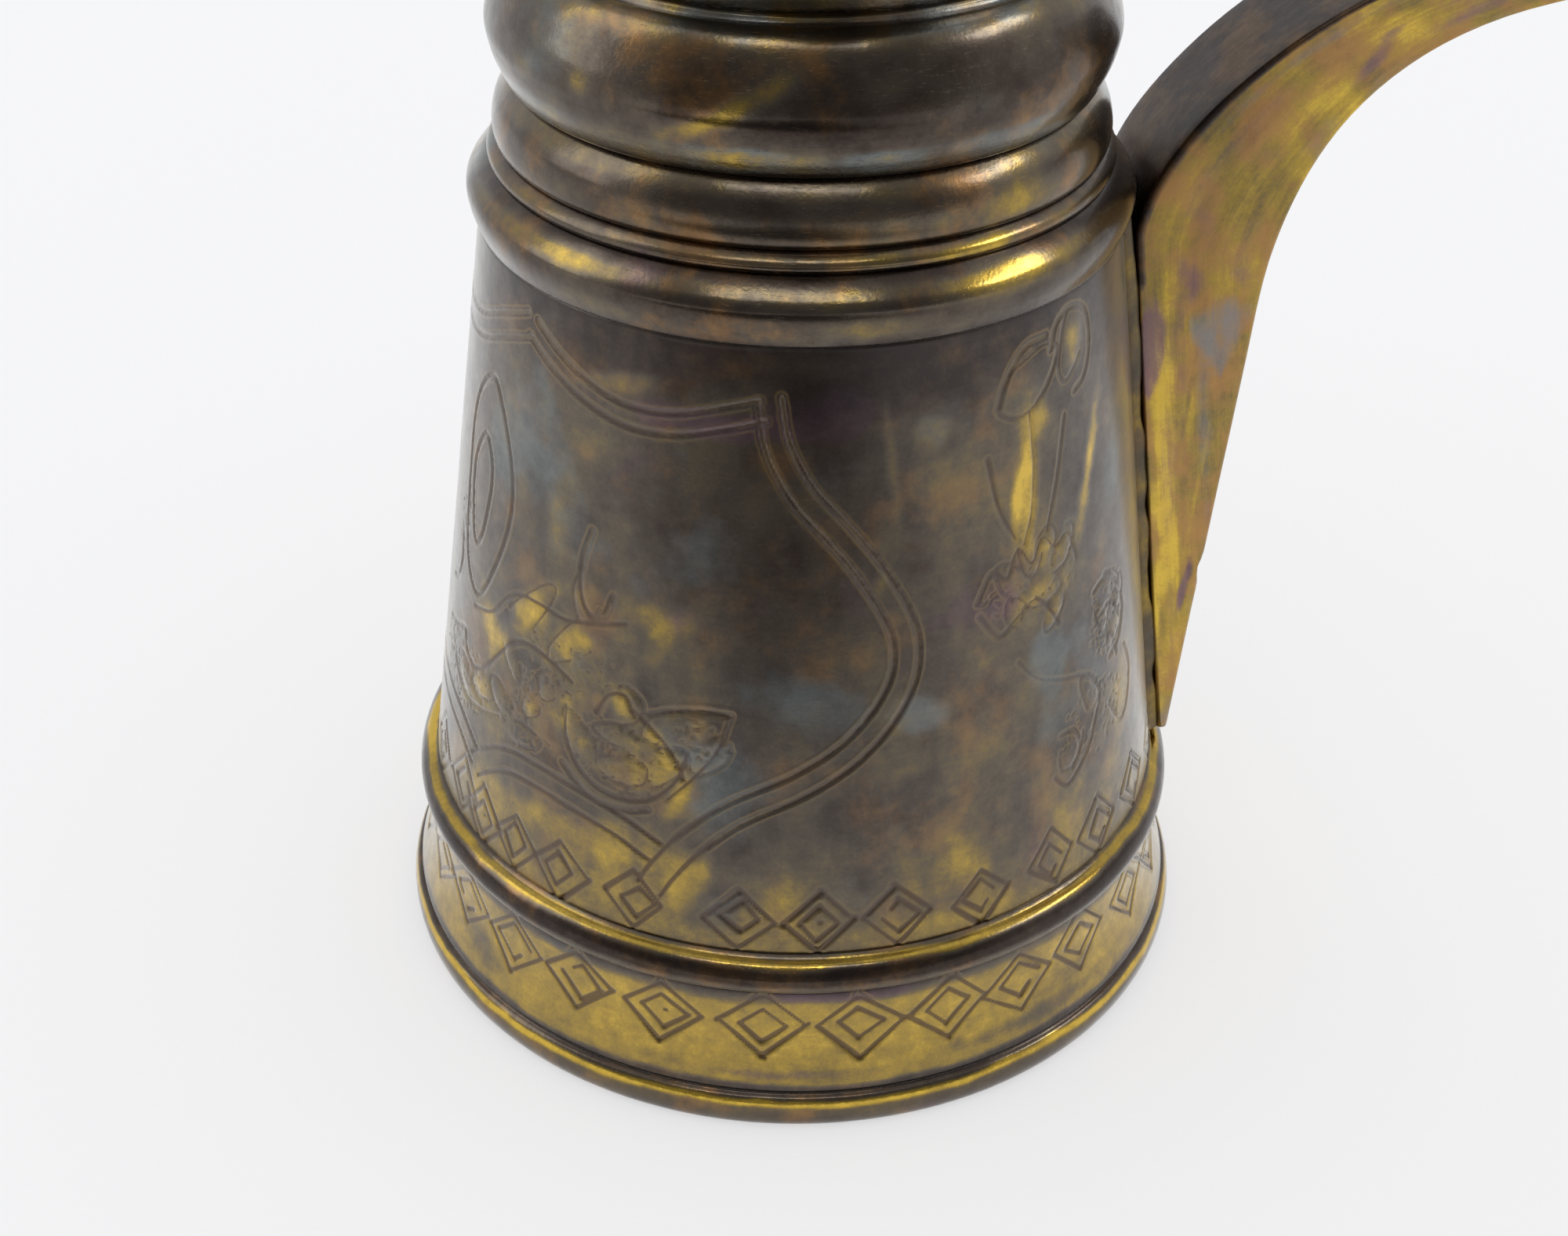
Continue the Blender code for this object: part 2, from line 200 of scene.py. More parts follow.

# Rubbed and stained places, and two lighter blue-grey patches on the bulb's lip that paint a reflection:
# (turn, height, half width, half height, tilt, tarnish change, tint).
# Turns are from the middle of the engraved face.
CONE_PATCHES = [
    (-55, 35.5, 4, 1.6, 50, -0.3, 0), (-17, 29, 0.8, 2, 25, -0.55, 0), (-26, 32.2, 6.4, 4.4, 0, -0.16, 0),
    (-60, 28.5, 8, 3.2, 0, -0.22, 0), (-30, 38.5, 6, 5, 0, -0.14, 0), (-47, 37.5, 7, 7, 0, -0.12, 0),
    (-26.5, 44.4, 1.6, 1.4, 0, -0.32, -0.2), (-21, 43.9, 1.5, 1.5, 10, -0.42, 0),
    (-16.6, 44.2, 1.2, 1.2, 16, -0.36, 0), (-38, 42.6, 2.4, 3.6, 0, -0.18, 0),
    (-15, 21.9, 1.4, 2.2, 20, -0.36, 0), (-32, 23.6, 7, 2, -10, -0.26, 0), (-52, 22, 9, 3, 0, -0.26, 0),
    (-31, 61.6, 4.4, 0.7, -12, -0.48, 0), (15, 57.2, 0.6, 4.2, -6, -0.42, 0),
    (21.5, 59.2, 1.6, 1.5, 0, -0.35, 0.5), (13, 47.9, 0.7, 1.8, 30, -0.35, 0),
    (51, 62.8, 2.6, 2.2, 0, -0.45, 0), (41, 57.2, 1.7, 2.4, 20, -0.62, 0),
    (39, 52.4, 1.1, 4.6, 4, -0.7, 0), (36.5, 50, 0.5, 3.6, 4, -0.35, 0), (55.5, 52, 1, 5.4, 20, -1.1, 0),
    (42, 44.6, 4.2, 2.4, -10, -0.22, 0), (64, 28.5, 2.2, 6.2, 4, -0.55, 0), (59, 24, 2.2, 3, 20, -0.35, 0),
    (26, 28, 3.4, 8, 0, -0.2, 0), (14, 27.5, 2.2, 7, 10, -0.14, 0), (28, 22.4, 1.4, 3, 0, -0.2, 0),
    (-2, 21.3, 1.2, 1.8, 20, -0.2, 0), (-40, 48.3, 1.5, 3.6, 0, -0.24, 0), (-8, 52, 9, 5, 0, 0.08, 0),
    (6, 64, 20, 2.6, 0, 0.22, -0.3), (-10, 20.5, 2.4, 2.2, 0, 0.4, 0.2), (8, 21.5, 3.4, 3.2, 0, 0.42, 0.2),
    (36, 20.5, 2.4, 4.2, 0, 0.4, -0.3), (22, 19.6, 3, 1.2, 0, 0.3, 0.2), (-26, 47.5, 4, 3, 0, 0.05, 0.4),
    (-50, 55, 6, 6.5, 0, -0.1, 0.9), (-13, 49.4, 4, 3, 0, 0.02, 0.7), (3, 38.4, 4.6, 3, 30, 0, 0.6),
    (19, 36.6, 2, 1.9, 0, -0.16, 0.9), (44, 37.4, 3.2, 3, 0, -0.02, 0.7),
    (-11, 30.6, 4.6, 3.4, 30, 0.05, 0.6), (65, 49, 3, 5, 0, -0.2, 1), (1, 60.8, 5, 2, 0, 0.1, -0.8),
    (-12, 60, 5.5, 1.2, 0, 0.02, -0.9), (30, 46, 4, 4, 0, 0, -0.5), (52, 36, 5, 6, 0, 0.04, 0.6),
    (-24, 55, 9, 3, 0, 0, -0.3),
]
FOOT_PATCHES = [
    (-52, 6.6, 3.6, 1.4, 20, 0.34, 0.4), (38, 5.4, 7, 0.8, 0, 0.42, 0.2), (44, 7, 5, 1.2, 0, 0.18, 0.2),
    (-2, 5, 9, 0.4, 0, 0.2, -0.3), (6, 12.5, 6, 0.8, 0, 0.26, -1), (-34, 12.2, 5, 0.6, 0, 0.24, 0.3),
]
NECK_PATCHES = [
    (38, 69.6, 6, 1.4, 0, -0.6, 0), (30, 71.6, 4, 0.7, 0, -0.6, 0), (-42, 70, 6, 1, 0, -0.42, 0),
    (-35, 67, 4, 1, 0, -0.2, 0), (12, 67.6, 3.5, 1, 0, -0.4, 0), (38, 74.4, 6.5, 2, 0, -0.46, 0),
    (-14, 81.8, 5.2, 0.9, -24, -0.95, -0.1), (-24, 80.3, 2, 0.9, -20, -0.4, 0),
    (-40, 82.4, 1.2, 0.9, 0, -0.4, 0), (-56, 81.6, 1.6, 0.9, 0, -0.42, 0),
    # The patches at heights 78.8 and 78.9 paint a lighter blue-grey reflection on the bulb's lip
    (16, 84.2, 4, 1, -20, -0.3, -0.1), (-6, 78.8, 6, 0.8, 0, -0.3, 0.5), (12, 78.9, 3, 0.7, 0, -0.2, 0.8),
    (-50, 84, 6, 3, 0, -0.1, 0.8),
]
# Beds of worked leaves, rubbed bright between dirty hollows: (turn, height, half width, half height)
FLOWER_BEDS = [
    (-28, 32.6, 9.5, 6), (-52, 32.5, 9, 6), (-31, 40.8, 7.5, 4.6), (-54, 39.5, 5, 3.6), (42, 45, 6, 3.8),
    (60, 37.5, 4, 4.2), (54, 29.5, 4.5, 4),
]
RANDOM_PATCHES = 120
PATCH_STRENGTH = 0.66
BED_STRENGTH = 0.36
WIPE_STRENGTH = 0.14

# Heights at which one kind of tarnish gives way to the next
BAND_END = 13.2
CONE_END = 66.2


def scattered_patches():
    """Patches of the same kinds for the sides that turn away from the engraved face."""
    patches = []
    for _ in range(RANDOM_PATCHES):
        turn, height = RNG.uniform(75, 285), RNG.uniform(4, 102)
        width, tall = RNG.uniform(0.8, 5.5), RNG.uniform(0.8, 4.5)
        change = RNG.choice([-0.55, -0.35, -0.2, 0.1, 0.25])
        patches.append((turn, height, width, tall, RNG.uniform(-50, 50), change,
                        RNG.choice([-0.9, 0, 0, 0.5, 1.0])))
    return patches


PATCHES = CONE_PATCHES + FOOT_PATCHES + NECK_PATCHES + scattered_patches()


def base_tarnish(turn, height):
    """Tarnish by height: bright on the foot, dull on the cone, black under the collar."""
    ragged = height + 2.6 * skin_noise(turn, height, 9, 31) + 5.0 * skin_noise(turn, height / 5, 2.6, 37)
    cone = 0.33 + 0.32 * fade(18.5, 27.5, ragged) + 0.20 * fade(57, 65.5, height)
    band = 0.17 + 0.30 * fade(11.2, BAND_END, height)
    neck = 0.64 + 0.06 * fade(76, 80, height) - 0.10 * fade(88, 96, height)
    return np.where(height > CONE_END, neck, np.where(height < BAND_END, band, cone))


def patina(turn, height):
    """Tarnish and tint on the pot's skin, with a blue-grey painted reflection on the bulb's lip and from the
    cup's foot up.
    """
    tarnish = base_tarnish(turn, height)
    tarnish = tarnish + (0.03 + 0.09 * fade(16, 28, height)) * skin_noise(turn, height, 14, 5)
    tarnish = tarnish + (0.05 + 0.11 * fade(18, 28, height)) * skin_noise(turn, height, 3.6, 205)
    wiped = fade(16, 20, height) * fade(60, 50, height)
    tarnish = tarnish + WIPE_STRENGTH * wiped * skin_noise(turn + 0.25 * height, height / 6, 2.4, 260)
    tint = 0.35 * skin_noise(turn, height, 12, 71) + 0.45 * skin_noise(turn, height, 4.4, 81)
    # Blue-grey tint painted in as reflection: from the cup's foot upwards, and in a band on the bulb's lip
    tint = tint + 0.5 * fade(86.2, 87.0, height) + 0.5 * fade(77.2, 77.6, height) * fade(80.2, 79.4, height)

    hollows = np.clip(skin_noise(turn, height, 3.0, 611) - 0.04, -0.34, 1)
    for centre, level, width, tall in FLOWER_BEDS:
        for place in face_places(centre):
            across = short_way(turn, place) * SKIN_PER_DEGREE
            bed = 1 - fade(0.5, 1.2, tilted_reach(across, height - level, width, tall, 0))
            tarnish = tarnish + BED_STRENGTH * bed * hollows

    frayed = 0.55 * skin_noise(turn, height, 4.0, 17, 4)
    for centre, level, width, tall, tilt, change, hue in PATCHES:
        across = short_way(turn, centre + FACE_TURN) * SKIN_PER_DEGREE
        cover = 1 - fade(0.2, 1.5, tilted_reach(across, height - level, width, tall, tilt) + frayed)
        tarnish = tarnish + PATCH_STRENGTH * change * cover
        tint = tint + hue * cover
    return np.clip(tarnish, 0, 1), np.clip(tint, -1, 1)


# ---------------------------------------------------------------- chased ornament

LINE_FAR = 4.0
LINE_DEPTH = 0.13
LINE_HALF = 0.24
BURR_HEIGHT = 0.22

# Double lines of the frame, each with its gap.  Paths are (turn, height) from the face's middle.
FRAMES = [
    (2, [(-4.5, 62.3), (-3, 58.7), (1, 55.1), (6.5, 52.1), (11.5, 48.9), (16.2, 44.6), (17, 41),
         (14.3, 37.6), (8.5, 34.2), (1, 31.5), (-8, 28.9), (-14.5, 25.8), (-18.8, 22.7), (-21, 20.6)]),
    (2, [(-20, 24), (-26, 25.4), (-33.5, 26.2), (-41, 26.5), (-48.5, 26.1), (-54.5, 24.4), (-58.5, 22.7)]),
    (2, [(-58.5, 23.4), (-65, 24.9), (-73, 25.6), (-82, 25.9)]),
    (1.6, [(-5.5, 61.4), (-13, 60.4), (-20, 59.6), (-28, 59.4), (-36, 60.2), (-43.5, 61.6),
           (-49.5, 63.1)]),
    (1.8, [(-50.5, 63.2), (-59.5, 61.6), (-68, 60), (-75, 59.3), (-82, 59)]),
]
STROKES = [
    [(-62.5, 36.6), (-56, 37.9), (-50, 40.9), (-44, 41.6), (-38, 41.4), (-32, 42.2), (-26.5, 43)],
    [(-75, 31.9), (-70, 32.7), (-66, 33.4), (-64.6, 31.9), (-61, 31.3), (-57, 32.5), (-53, 34.9),
     (-49, 37), (-45, 37.6), (-40, 37.2), (-36, 36.4)],
    [(-33.5, 49.6), (-35.2, 46.8), (-35, 44.2), (-33, 42.7), (-30.4, 43.1), (-29, 44.9)],
    [(-24, 35.6), (-19, 36.7), (-14, 37.2), (-9.2, 37.2)],
    [(-9.2, 37.2), (-11, 34.2), (-14.6, 31.4), (-18.6, 29)],
    [(-24.5, 36), (-20.5, 34.4), (-17.4, 32.6), (-16.2, 31)],
    [(-31, 34.8), (-29, 36.6), (-26, 37), (-24.4, 35.4)],
    [(-37, 34.2), (-36.4, 31.2), (-33, 28.9), (-28, 28), (-22, 28.5), (-17.6, 30.6), (-15.6, 33.4)],
    [(-37, 29), (-32, 27.2), (-26.4, 26.9), (-21.6, 27.7)],
    [(-70, 29.4), (-64, 27.9), (-58, 28.2), (-52, 29.3)],
    [(-75, 35.9), (-72, 36.6), (-70.4, 38.6), (-71, 41.2)],
    [(33.8, 59.6), (35.6, 61.7), (39.5, 63.6), (44.5, 63.8)],
    [(34, 59.2), (37, 58.5), (41, 58.7), (45, 60.3), (47.6, 62.4)],
    [(45.6, 62.6), (47.6, 64.4), (51.4, 65), (55.6, 64.1), (56.8, 61.6), (55, 59.2), (51.6, 58.4)],
    [(29, 44.7), (31.8, 46.9), (34.6, 46), (37.2, 48), (39.8, 46.4), (42.4, 48.1), (45.2, 46.8),
     (48.2, 47.4), (50.4, 45)],
    [(29.4, 43.6), (33, 41.4), (37, 42.6), (41, 43.2), (45.2, 40.6)],
    [(40.5, 43.4), (43, 42.2), (45.4, 40.2)],
    [(55, 40.6), (58.6, 41), (62.8, 39.6), (65.4, 37), (63.4, 34.4), (59.4, 33.6)],
    [(56.4, 38.2), (60.6, 38.4), (63.4, 36.4)],
    [(57, 36.2), (60, 35.6), (62.2, 33.2)],
    [(49.6, 34.5), (53.4, 33.4), (55.6, 31.2), (53.6, 28.8), (51, 26.9), (46.4, 25.3), (43.4, 26.6)],
    [(45, 30.2), (48.2, 29.9), (49.4, 28.2), (47.6, 26.5)],
    [(36.5, 38.6), (40.4, 36.4), (45.4, 35.2), (49.6, 34.5)],
    [(58.6, 29.4), (62.4, 26.8), (65.6, 27.6), (67.4, 30.4), (65.4, 33)],
    [(48.6, 57), (46.2, 52.4), (43.4, 48.4)],
    [(40.4, 58.4), (41, 54.2), (40.2, 50.4), (38.4, 48.2)],
    [(31.4, 56), (33.4, 52), (36.6, 49)],
]
# Pointed ovals: (turn, height, half width, half height, tilt)
LEAVES = [(-61.8, 47.4, 4.1, 9.6, 2), (-63.2, 47, 1.8, 4.9, 4)]
# Petals pushed out of the sheet and rubbed bright: (turn, height, half width, half height, tilt, polish)
PETALS = [
    (-33.6, 44.6, 1.3, 2.9, 12, 0.18), (-36.6, 39.8, 1.2, 3.3, 42, 0.42), (-47, 39.9, 1.3, 5, 40, 0.45),
    (-26.2, 36.2, 1.7, 1.6, 10, 0.62), (-16.6, 35.4, 1.6, 3.6, 68, 0.36),
    (-12.4, 33.6, 1.3, 2.2, 34, 0.34), (-34.2, 32, 1.3, 2.5, -40, 0.28), (-26.4, 30.6, 2.6, 1.4, 0, 0.26),
    (-19.2, 31.8, 1.2, 2.4, 36, 0.28), (-26.8, 33.4, 2.2, 1, 0, 0.16), (-44.4, 32.3, 1, 1.2, 38, 0.6),
    (-40.6, 35.2, 1, 1.8, 24, 0.18), (-49.6, 35.4, 1, 2.2, -30, 0.14), (-52, 31.2, 1.1, 1.9, -60, 0.14),
    (-57.4, 30.6, 1.2, 2.2, 70, 0.14), (-64, 29.6, 1.2, 2.4, -64, 0.1), (-46, 29.2, 1, 2.4, 78, 0.16),
    (36, 45.6, 1.1, 2.2, -48, 0.24), (39.4, 47.2, 1.1, 2, -14, 0.3), (43, 47, 1.1, 2, 12, 0.36),
    (46.8, 46.4, 1.1, 2.1, 40, 0.34), (41.6, 43.8, 2.4, 1.3, 0, 0.2), (44.6, 41.6, 0.8, 1.9, 34, 0.42),
    (37, 42.6, 1, 1.8, -40, 0.16), (40, 61, 1.9, 3.6, 62, 0.26), (51.4, 62.6, 1.5, 3.2, 20, 0.34),
    (60.6, 40.2, 1, 1.8, -60, 0.16), (63.6, 38.6, 1, 1.8, 10, 0.16), (61.6, 35.8, 1.1, 1.8, 50, 0.12),
    (57.4, 38, 1, 1.6, -20, 0.12), (53, 32, 1, 2.4, -30, 0.1), (47.6, 28.4, 1.3, 2, 40, 0.08),
]
PETAL_RISE = 0.09
PETAL_OUTLINE = 0.55
# Dotted grounds: (turn, height, half width, half height, dots)
STIPPLED = [
    (-27, 31.6, 5.2, 3.2, 150), (-14, 34.6, 2.2, 1.6, 30), (-66, 29.8, 5.5, 3.4, 150),
    (-46, 30.6, 3, 2.6, 60), (41, 45, 5.6, 3, 90), (60, 37.6, 3.2, 3.6, 90), (-70, 42.5, 1.4, 4, 30),
    (-45, 34, 2.4, 1.4, 34), (-36, 37.4, 5.5, 2.6, 90), (54, 29.6, 5, 3.4, 80),
]
CONE_LOZENGES = [-62, -54.5, -46, -36, -23, -7, 4, 15.5, 28.5, 42, 54, 67, 80]
BAND_LOZENGES = [-69, -57.5, -45, -32, -18, -4, 10, 23, 35, 48, 62, 75]
CONE_LOZENGE_HEIGHT = 19.2
CONE_LOZENGE_SIZE = (2.75, 2.75)
BAND_LOZENGE_HEIGHT = 9.5
BAND_LOZENGE_SIZE = (3.45, 3.0)
LOZENGE_SPACING = 12.6


class Engraving:
    """Work on the outer side of a turned piece, as a grid of values by turn and height.

    line is the distance to the nearest stroke in its half widths, depth and rise are how far the skin
    goes in and out, and rubbed is how much tarnish is gone.
    """

    def __init__(self, side):
        self.radii, self.heights = side.T
        self.pitch = 360.0 / ENGRAVED_COLUMNS
        shape = (ENGRAVED_COLUMNS, len(side))
        self.line = np.full(shape, LINE_FAR)
        self.depth, self.rise, self.rubbed = (np.zeros(shape) for _ in range(3))

    def per_degree(self, height):
        """Millimetres round the piece in one degree."""
        return math.radians(np.interp(height, self.heights, self.radii))

    def cut(self, path, half=LINE_HALF, depth=LINE_DEPTH, faint=0.0):
        """Cut a stroke along a path of (turn, height) in the object's own turns.

        faint is how far the darkening stays off the stroke's middle, in half widths.
        """
        for (t0, z0), (t1, z1) in zip(path[:-1], path[1:]):
            scale = self.per_degree((z0 + z1) / 2)
            reach = half * LINE_FAR
            rows = np.nonzero(np.abs(self.heights - (z0 + z1) / 2) < abs(z1 - z0) / 2 + reach)[0]
            spread = abs(t1 - t0) / 2 + reach / scale
            middle = (t0 + t1) / 2
            span = np.arange(math.ceil((middle - spread) / self.pitch),
                             math.floor((middle + spread) / self.pitch) + 1)
            if not len(rows) or not len(span):
                continue
            across = (span * self.pitch - t0)[:, None] * scale
            up = (self.heights[rows] - z0)[None]
            run, rise = (t1 - t0) * scale, z1 - z0
            share = np.clip((across * run + up * rise) / (run * run + rise * rise + 1e-9), 0, 1)
            distance = np.hypot(across - share * run, up - share * rise) / half
            at = np.ix_(span % ENGRAVED_COLUMNS, rows)
            self.line[at] = np.minimum(self.line[at], distance + faint)
            burr = BURR_HEIGHT * np.exp(-((distance - 1.5) / 0.35) ** 2)
            bite = depth * (np.clip(1 - distance, 0, 1) ** 0.8 - burr)
            self.depth[at] = np.where(np.abs(bite) > np.abs(self.depth[at]), bite, self.depth[at])

    def both_sides(self, path, **style):
        """Cut a path on the engraved face and its mirror image beyond the handle."""
        face = np.asarray(path) + [FACE_TURN, 0]
        self.cut(face, **style)
        wander = RNG.normal(0, [0.5, 0.25], 2)
        self.cut([2 * HANDLE_TURN, 0] + face * [-1, 1] + wander, **style)

    def double(self, path, gap):
        """Two parallel strokes, gap millimetres apart."""
        scale = self.per_degree(path[:, 1].mean())
        flow = np.gradient(path * [scale, 1], axis=0)
        flow /= np.hypot(*flow.T)[:, None]
        aside = np.stack([-flow[:, 1] / scale, flow[:, 0]], 1) * gap / 2
        self.both_sides(path + aside)
        self.both_sides(path - aside)

    def oval(self, turn, height, width, tall, tilt, start=0.0, sweep=1.0, **style):
        """Pointed oval, or the part of it that sweeps on from start (both as shares of the loop)."""
        scale = self.per_degree(height)
        angle = 2 * math.pi * np.linspace(start, start + sweep, 40)
        pointed = np.abs(np.cos(angle)) ** 1.25 * np.sign(np.cos(angle)) * width
        pointed = pointed * (1 + 0.12 * np.sin(3 * angle + turn))
        lean = math.radians(tilt)
        across = pointed * math.cos(lean) + np.sin(angle) * tall * math.sin(lean)
        up = np.sin(angle) * tall * math.cos(lean) - pointed * math.sin(lean)
        self.both_sides(np.stack([turn + across / scale, height + up], 1), **style)

    def petal(self, turn, height, width, tall, tilt, polish):
        """Outlined oval pushed out of the sheet, its high middle rubbed bright, also beyond the handle."""
        self.oval(turn, height, width, tall, tilt, start=turn % 1, sweep=PETAL_OUTLINE,
                  half=LINE_HALF * 0.85, depth=LINE_DEPTH * 0.5, faint=0.4)
        scale = self.per_degree(height)
        columns = np.arange(ENGRAVED_COLUMNS)[:, None] * self.pitch
        ragged = 0.55 * skin_noise(columns, self.heights[None], 1.6, 417, 2)
        for centre, lean in zip(face_places(turn), (tilt, -tilt)):
            reach = tilted_reach(short_way(columns, centre) * scale, self.heights[None] - height, width,
                                 tall, lean)
            self.rise = np.maximum(self.rise, PETAL_RISE * (1 - fade(0.3, 1.1, reach)))
            self.rubbed = np.maximum(self.rubbed, 0.7 * polish * (1 - fade(0.1, 1.5, reach + ragged)))

    def stipple(self, turn, height, width, tall, dots):
        """Short punched marks scattered over an oval."""
        scale = self.per_degree(height)
        for _ in range(dots):
            around, out = RNG.uniform(0, 2 * math.pi), math.sqrt(RNG.uniform(0, 1))
            spot = np.array([turn + width * out * math.cos(around) / scale,
                             height + tall * out * math.sin(around)])
            step = RNG.normal(0, [0.35, 0.12])
            self.both_sides([spot, spot + step], half=0.17, depth=0.07, faint=RNG.uniform(0.2, 1.0))

    def lozenge(self, turn, height, half_width, half_height):
        """Hand cut double diamond: sides overshoot or stop short and the inner one is off centre."""
        scale = self.per_degree(height)
        diamond = np.array([(half_width, 0), (0, half_height), (-half_width, 0), (0, -half_height)])
        for shrink in (1.0, 0.56):
            corners = diamond * shrink + RNG.normal(0, 0.14, 2) + RNG.normal(0, 0.12, (4, 2))
            for start, end in zip(corners, np.roll(corners, -1, axis=0)):
                grow = (end - start) * RNG.uniform(-0.04, 0.07)
                if shrink < 1 and RNG.uniform() < 0.10:
                    end = start + (end - start) * 0.45
                ends = np.array([start - grow * 0.3, end + grow]) / [scale, 1] + [turn, height]
                weight = RNG.uniform(0.85, 1.3)
                self.cut(ends, half=LINE_HALF * weight, depth=LINE_DEPTH * weight)
        if RNG.uniform() < 0.3:
            self.cut([(turn, height), (turn + 0.5, height)], half=0.2)

    def lozenge_row(self, placed, height, size):
        """A row of diamonds right round, at the listed turns on the face and evenly beyond it."""
        turns = [turn + FACE_TURN for turn in placed]
        gap = 360 - (turns[-1] - turns[0])
        beyond = round(gap / LOZENGE_SPACING)
        turns += [turns[-1] + gap * step / beyond + RNG.normal(0, 0.9) for step in range(1, beyond)]
        for turn in turns:
            self.lozenge(turn, height + RNG.normal(0, 0.12), size[0] * RNG.uniform(0.93, 1.05),
                         size[1] * RNG.uniform(0.95, 1.05))


def chase_band(work):
    """The foot's ornament: one row of diamonds."""
    work.lozenge_row(BAND_LOZENGES, BAND_LOZENGE_HEIGHT, BAND_LOZENGE_SIZE)


def chase_cone(work):
    """The body's ornament: a framed panel of leaves and flowers, sprays beside it, diamonds below."""
    for gap, path in FRAMES:
        work.double(smooth_path(path, 5), gap)
    for path in STROKES:
        work.both_sides(smooth_path(path, 5), half=LINE_HALF * RNG.uniform(0.9, 1.2),
                        depth=LINE_DEPTH * 0.8, faint=RNG.uniform(0.0, 0.6))
    for leaf in LEAVES:
        work.oval(*leaf)
    for petal in PETALS:
        work.petal(*petal)
    for patch in STIPPLED:
        work.stipple(*patch)
    work.lozenge_row(CONE_LOZENGES, CONE_LOZENGE_HEIGHT, CONE_LOZENGE_SIZE)


# ---------------------------------------------------------------- meshes

def add_object(name, data):
    """New object in the scene."""
    made = bpy.data.objects.new(name, data)
    bpy.context.scene.collection.objects.link(made)
    return made


def grid(*parts):
    """Coordinates or values that broadcast together, stacked as one grid."""
    return np.stack(np.broadcast_arrays(*parts), -1)


def grid_faces(columns, rows, capped):
    """Quads between closed sections, round an axis or along a sweep with a face over each end."""
    column, row = np.divmod(np.arange(columns * rows), rows)
    right, up = (column + 1) % columns, (row + 1) % rows
    corners = grid(column * rows + row, right * rows + row, right * rows + up, column * rows + up).tolist()
    if not capped:
        return corners
    last = (columns - 1) * rows
    return corners[:last] + [list(range(rows))[::-1], list(range(last, last + rows))]


def add_piece(name, points, finish, tarnish, tint, flow, line=LINE_FAR, node=None, body="pot", capped=False):
    """One closed mesh piece that moves with a body, in place of a CAD node.

    points is a grid of sections, and finish is (material slot, material); the slot is not used.  At each
    point the material reads the tarnish, the tint, the distance to the nearest stroke, and flow, the place in
    the grain.
    """
    mesh = bpy.data.meshes.new(name)
    mesh.from_pydata((points.reshape(-1, 3) * MM).tolist(), [], grid_faces(*points.shape[:2], capped))
    for title, value in (("tarnish", np.clip(tarnish, 0, 1)), ("tint", tint), ("line", line)):
        layer = mesh.attributes.new(title, "FLOAT", "POINT")
        value = np.broadcast_to(np.asarray(value, np.float32), points.shape[:-1])
        layer.data.foreach_set("value", value.ravel())
    layer = mesh.attributes.new("flow", "FLOAT_VECTOR", "POINT")
    layer.data.foreach_set("vector", np.asarray(flow, np.float32).ravel())
    slot, material = finish
    mesh.materials.append(material)
    mesh.shade_smooth()
    skin = bmesh.new()
    skin.from_mesh(mesh)
    bmesh.ops.recalc_face_normals(skin, faces=skin.faces)
    skin.to_mesh(mesh)
    skin.free()
    piece = add_object(name, mesh)
    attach(piece, body)
    if node:
        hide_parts(node)
    return piece


def turned_points(turn, radius, height):
    """Points at a radius and a height, seen from the axis at a turn."""
    angle = np.radians(turn)
    return grid(radius * np.sin(angle), -radius * np.cos(angle), height)


# The grain runs round the pot, so it changes slowly sideways and fast upwards
LATHE_GRAIN = (0.1, 0.1, 1)
# The skin is even this near the axis, and the hidden sides have one tarnish
EVEN_RADIUS = 5.0
INSIDE_TARNISH = 0.55
# Rows of the neck's two sides, and steps round a wire, the hanging ring and the eye
BELLY_ROWS, CUP_ROWS = 64, 46
WIRE_STEPS, RING_STEPS, EYE_STEPS = 18, 160, 96


def hand_wobble(turn, height):
    """Small unevenness left by hand spinning and years of use, in millimetres."""
    return 0.05 * skin_noise(turn, height, 26, 301) + 0.018 * skin_noise(turn, height, 7, 340)


def turned_piece(name, node, finish, outer, inner, columns=COLUMNS, engraving=None, push=None):
    """Closed body of revolution from an outer side (bottom to top) and an inner side (top to bottom)."""
    section = np.vstack([outer, inner])
    count = len(outer)
    turn = np.arange(columns)[:, None] * 360.0 / columns
    height = np.broadcast_to(section[:, 1], (columns, len(section)))
    uneven = (np.arange(len(section)) < count) & (section[:, 0] > EVEN_RADIUS)
    radius = section[:, 0] + hand_wobble(turn, height) * uneven
    line = np.full(height.shape, LINE_FAR)
    tarnish, tint = patina(turn, height)
    if engraving is not None:
        radius[:, :count] += engraving.rise - engraving.depth
        line[:, :count] = engraving.line
        tarnish[:, :count] -= engraving.rubbed
    if push is not None:
        radius = radius + push(turn, height)
    run = lengths(outer)
    ragged = (run + 0.35 * skin_noise(turn, height[:, :count], 4, 91, 4)) / run[-1]
    # Painted light along each side: darker ends paint crease shade, brighter stretches paint highlights and
    # reflections
    tarnish[:, :count] += np.interp(ragged, *np.transpose(TARNISH_SHADE_AND_HIGHLIGHT_BANDS.get(node, [(0, 0)])))
    tarnish[:, count:] = INSIDE_TARNISH + 0.2 * skin_noise(turn, height[:, count:], 12, 131)
    points = turned_points(turn, radius, height)
    return add_piece(name, points, finish, tarnish, tint, points * LATHE_GRAIN, line, node)


def fine_outer(node, count):
    """Outer side of a CAD ring, rounded through its corners and lapped into its neighbours."""
    side = resample(smooth_path(cad_profile(node), 8), count)
    return np.vstack([side[0] + [-LAP * 0.6, -LAP], side, side[-1] + [-LAP * 0.6, LAP]])


def inner_side(outer, radius, rows=6):
    """Straight inner side, listed from top to bottom."""
    heights = np.linspace(outer[-1, 1], outer[0, 1], rows)
    return np.stack([np.full(rows, radius), heights], 1)


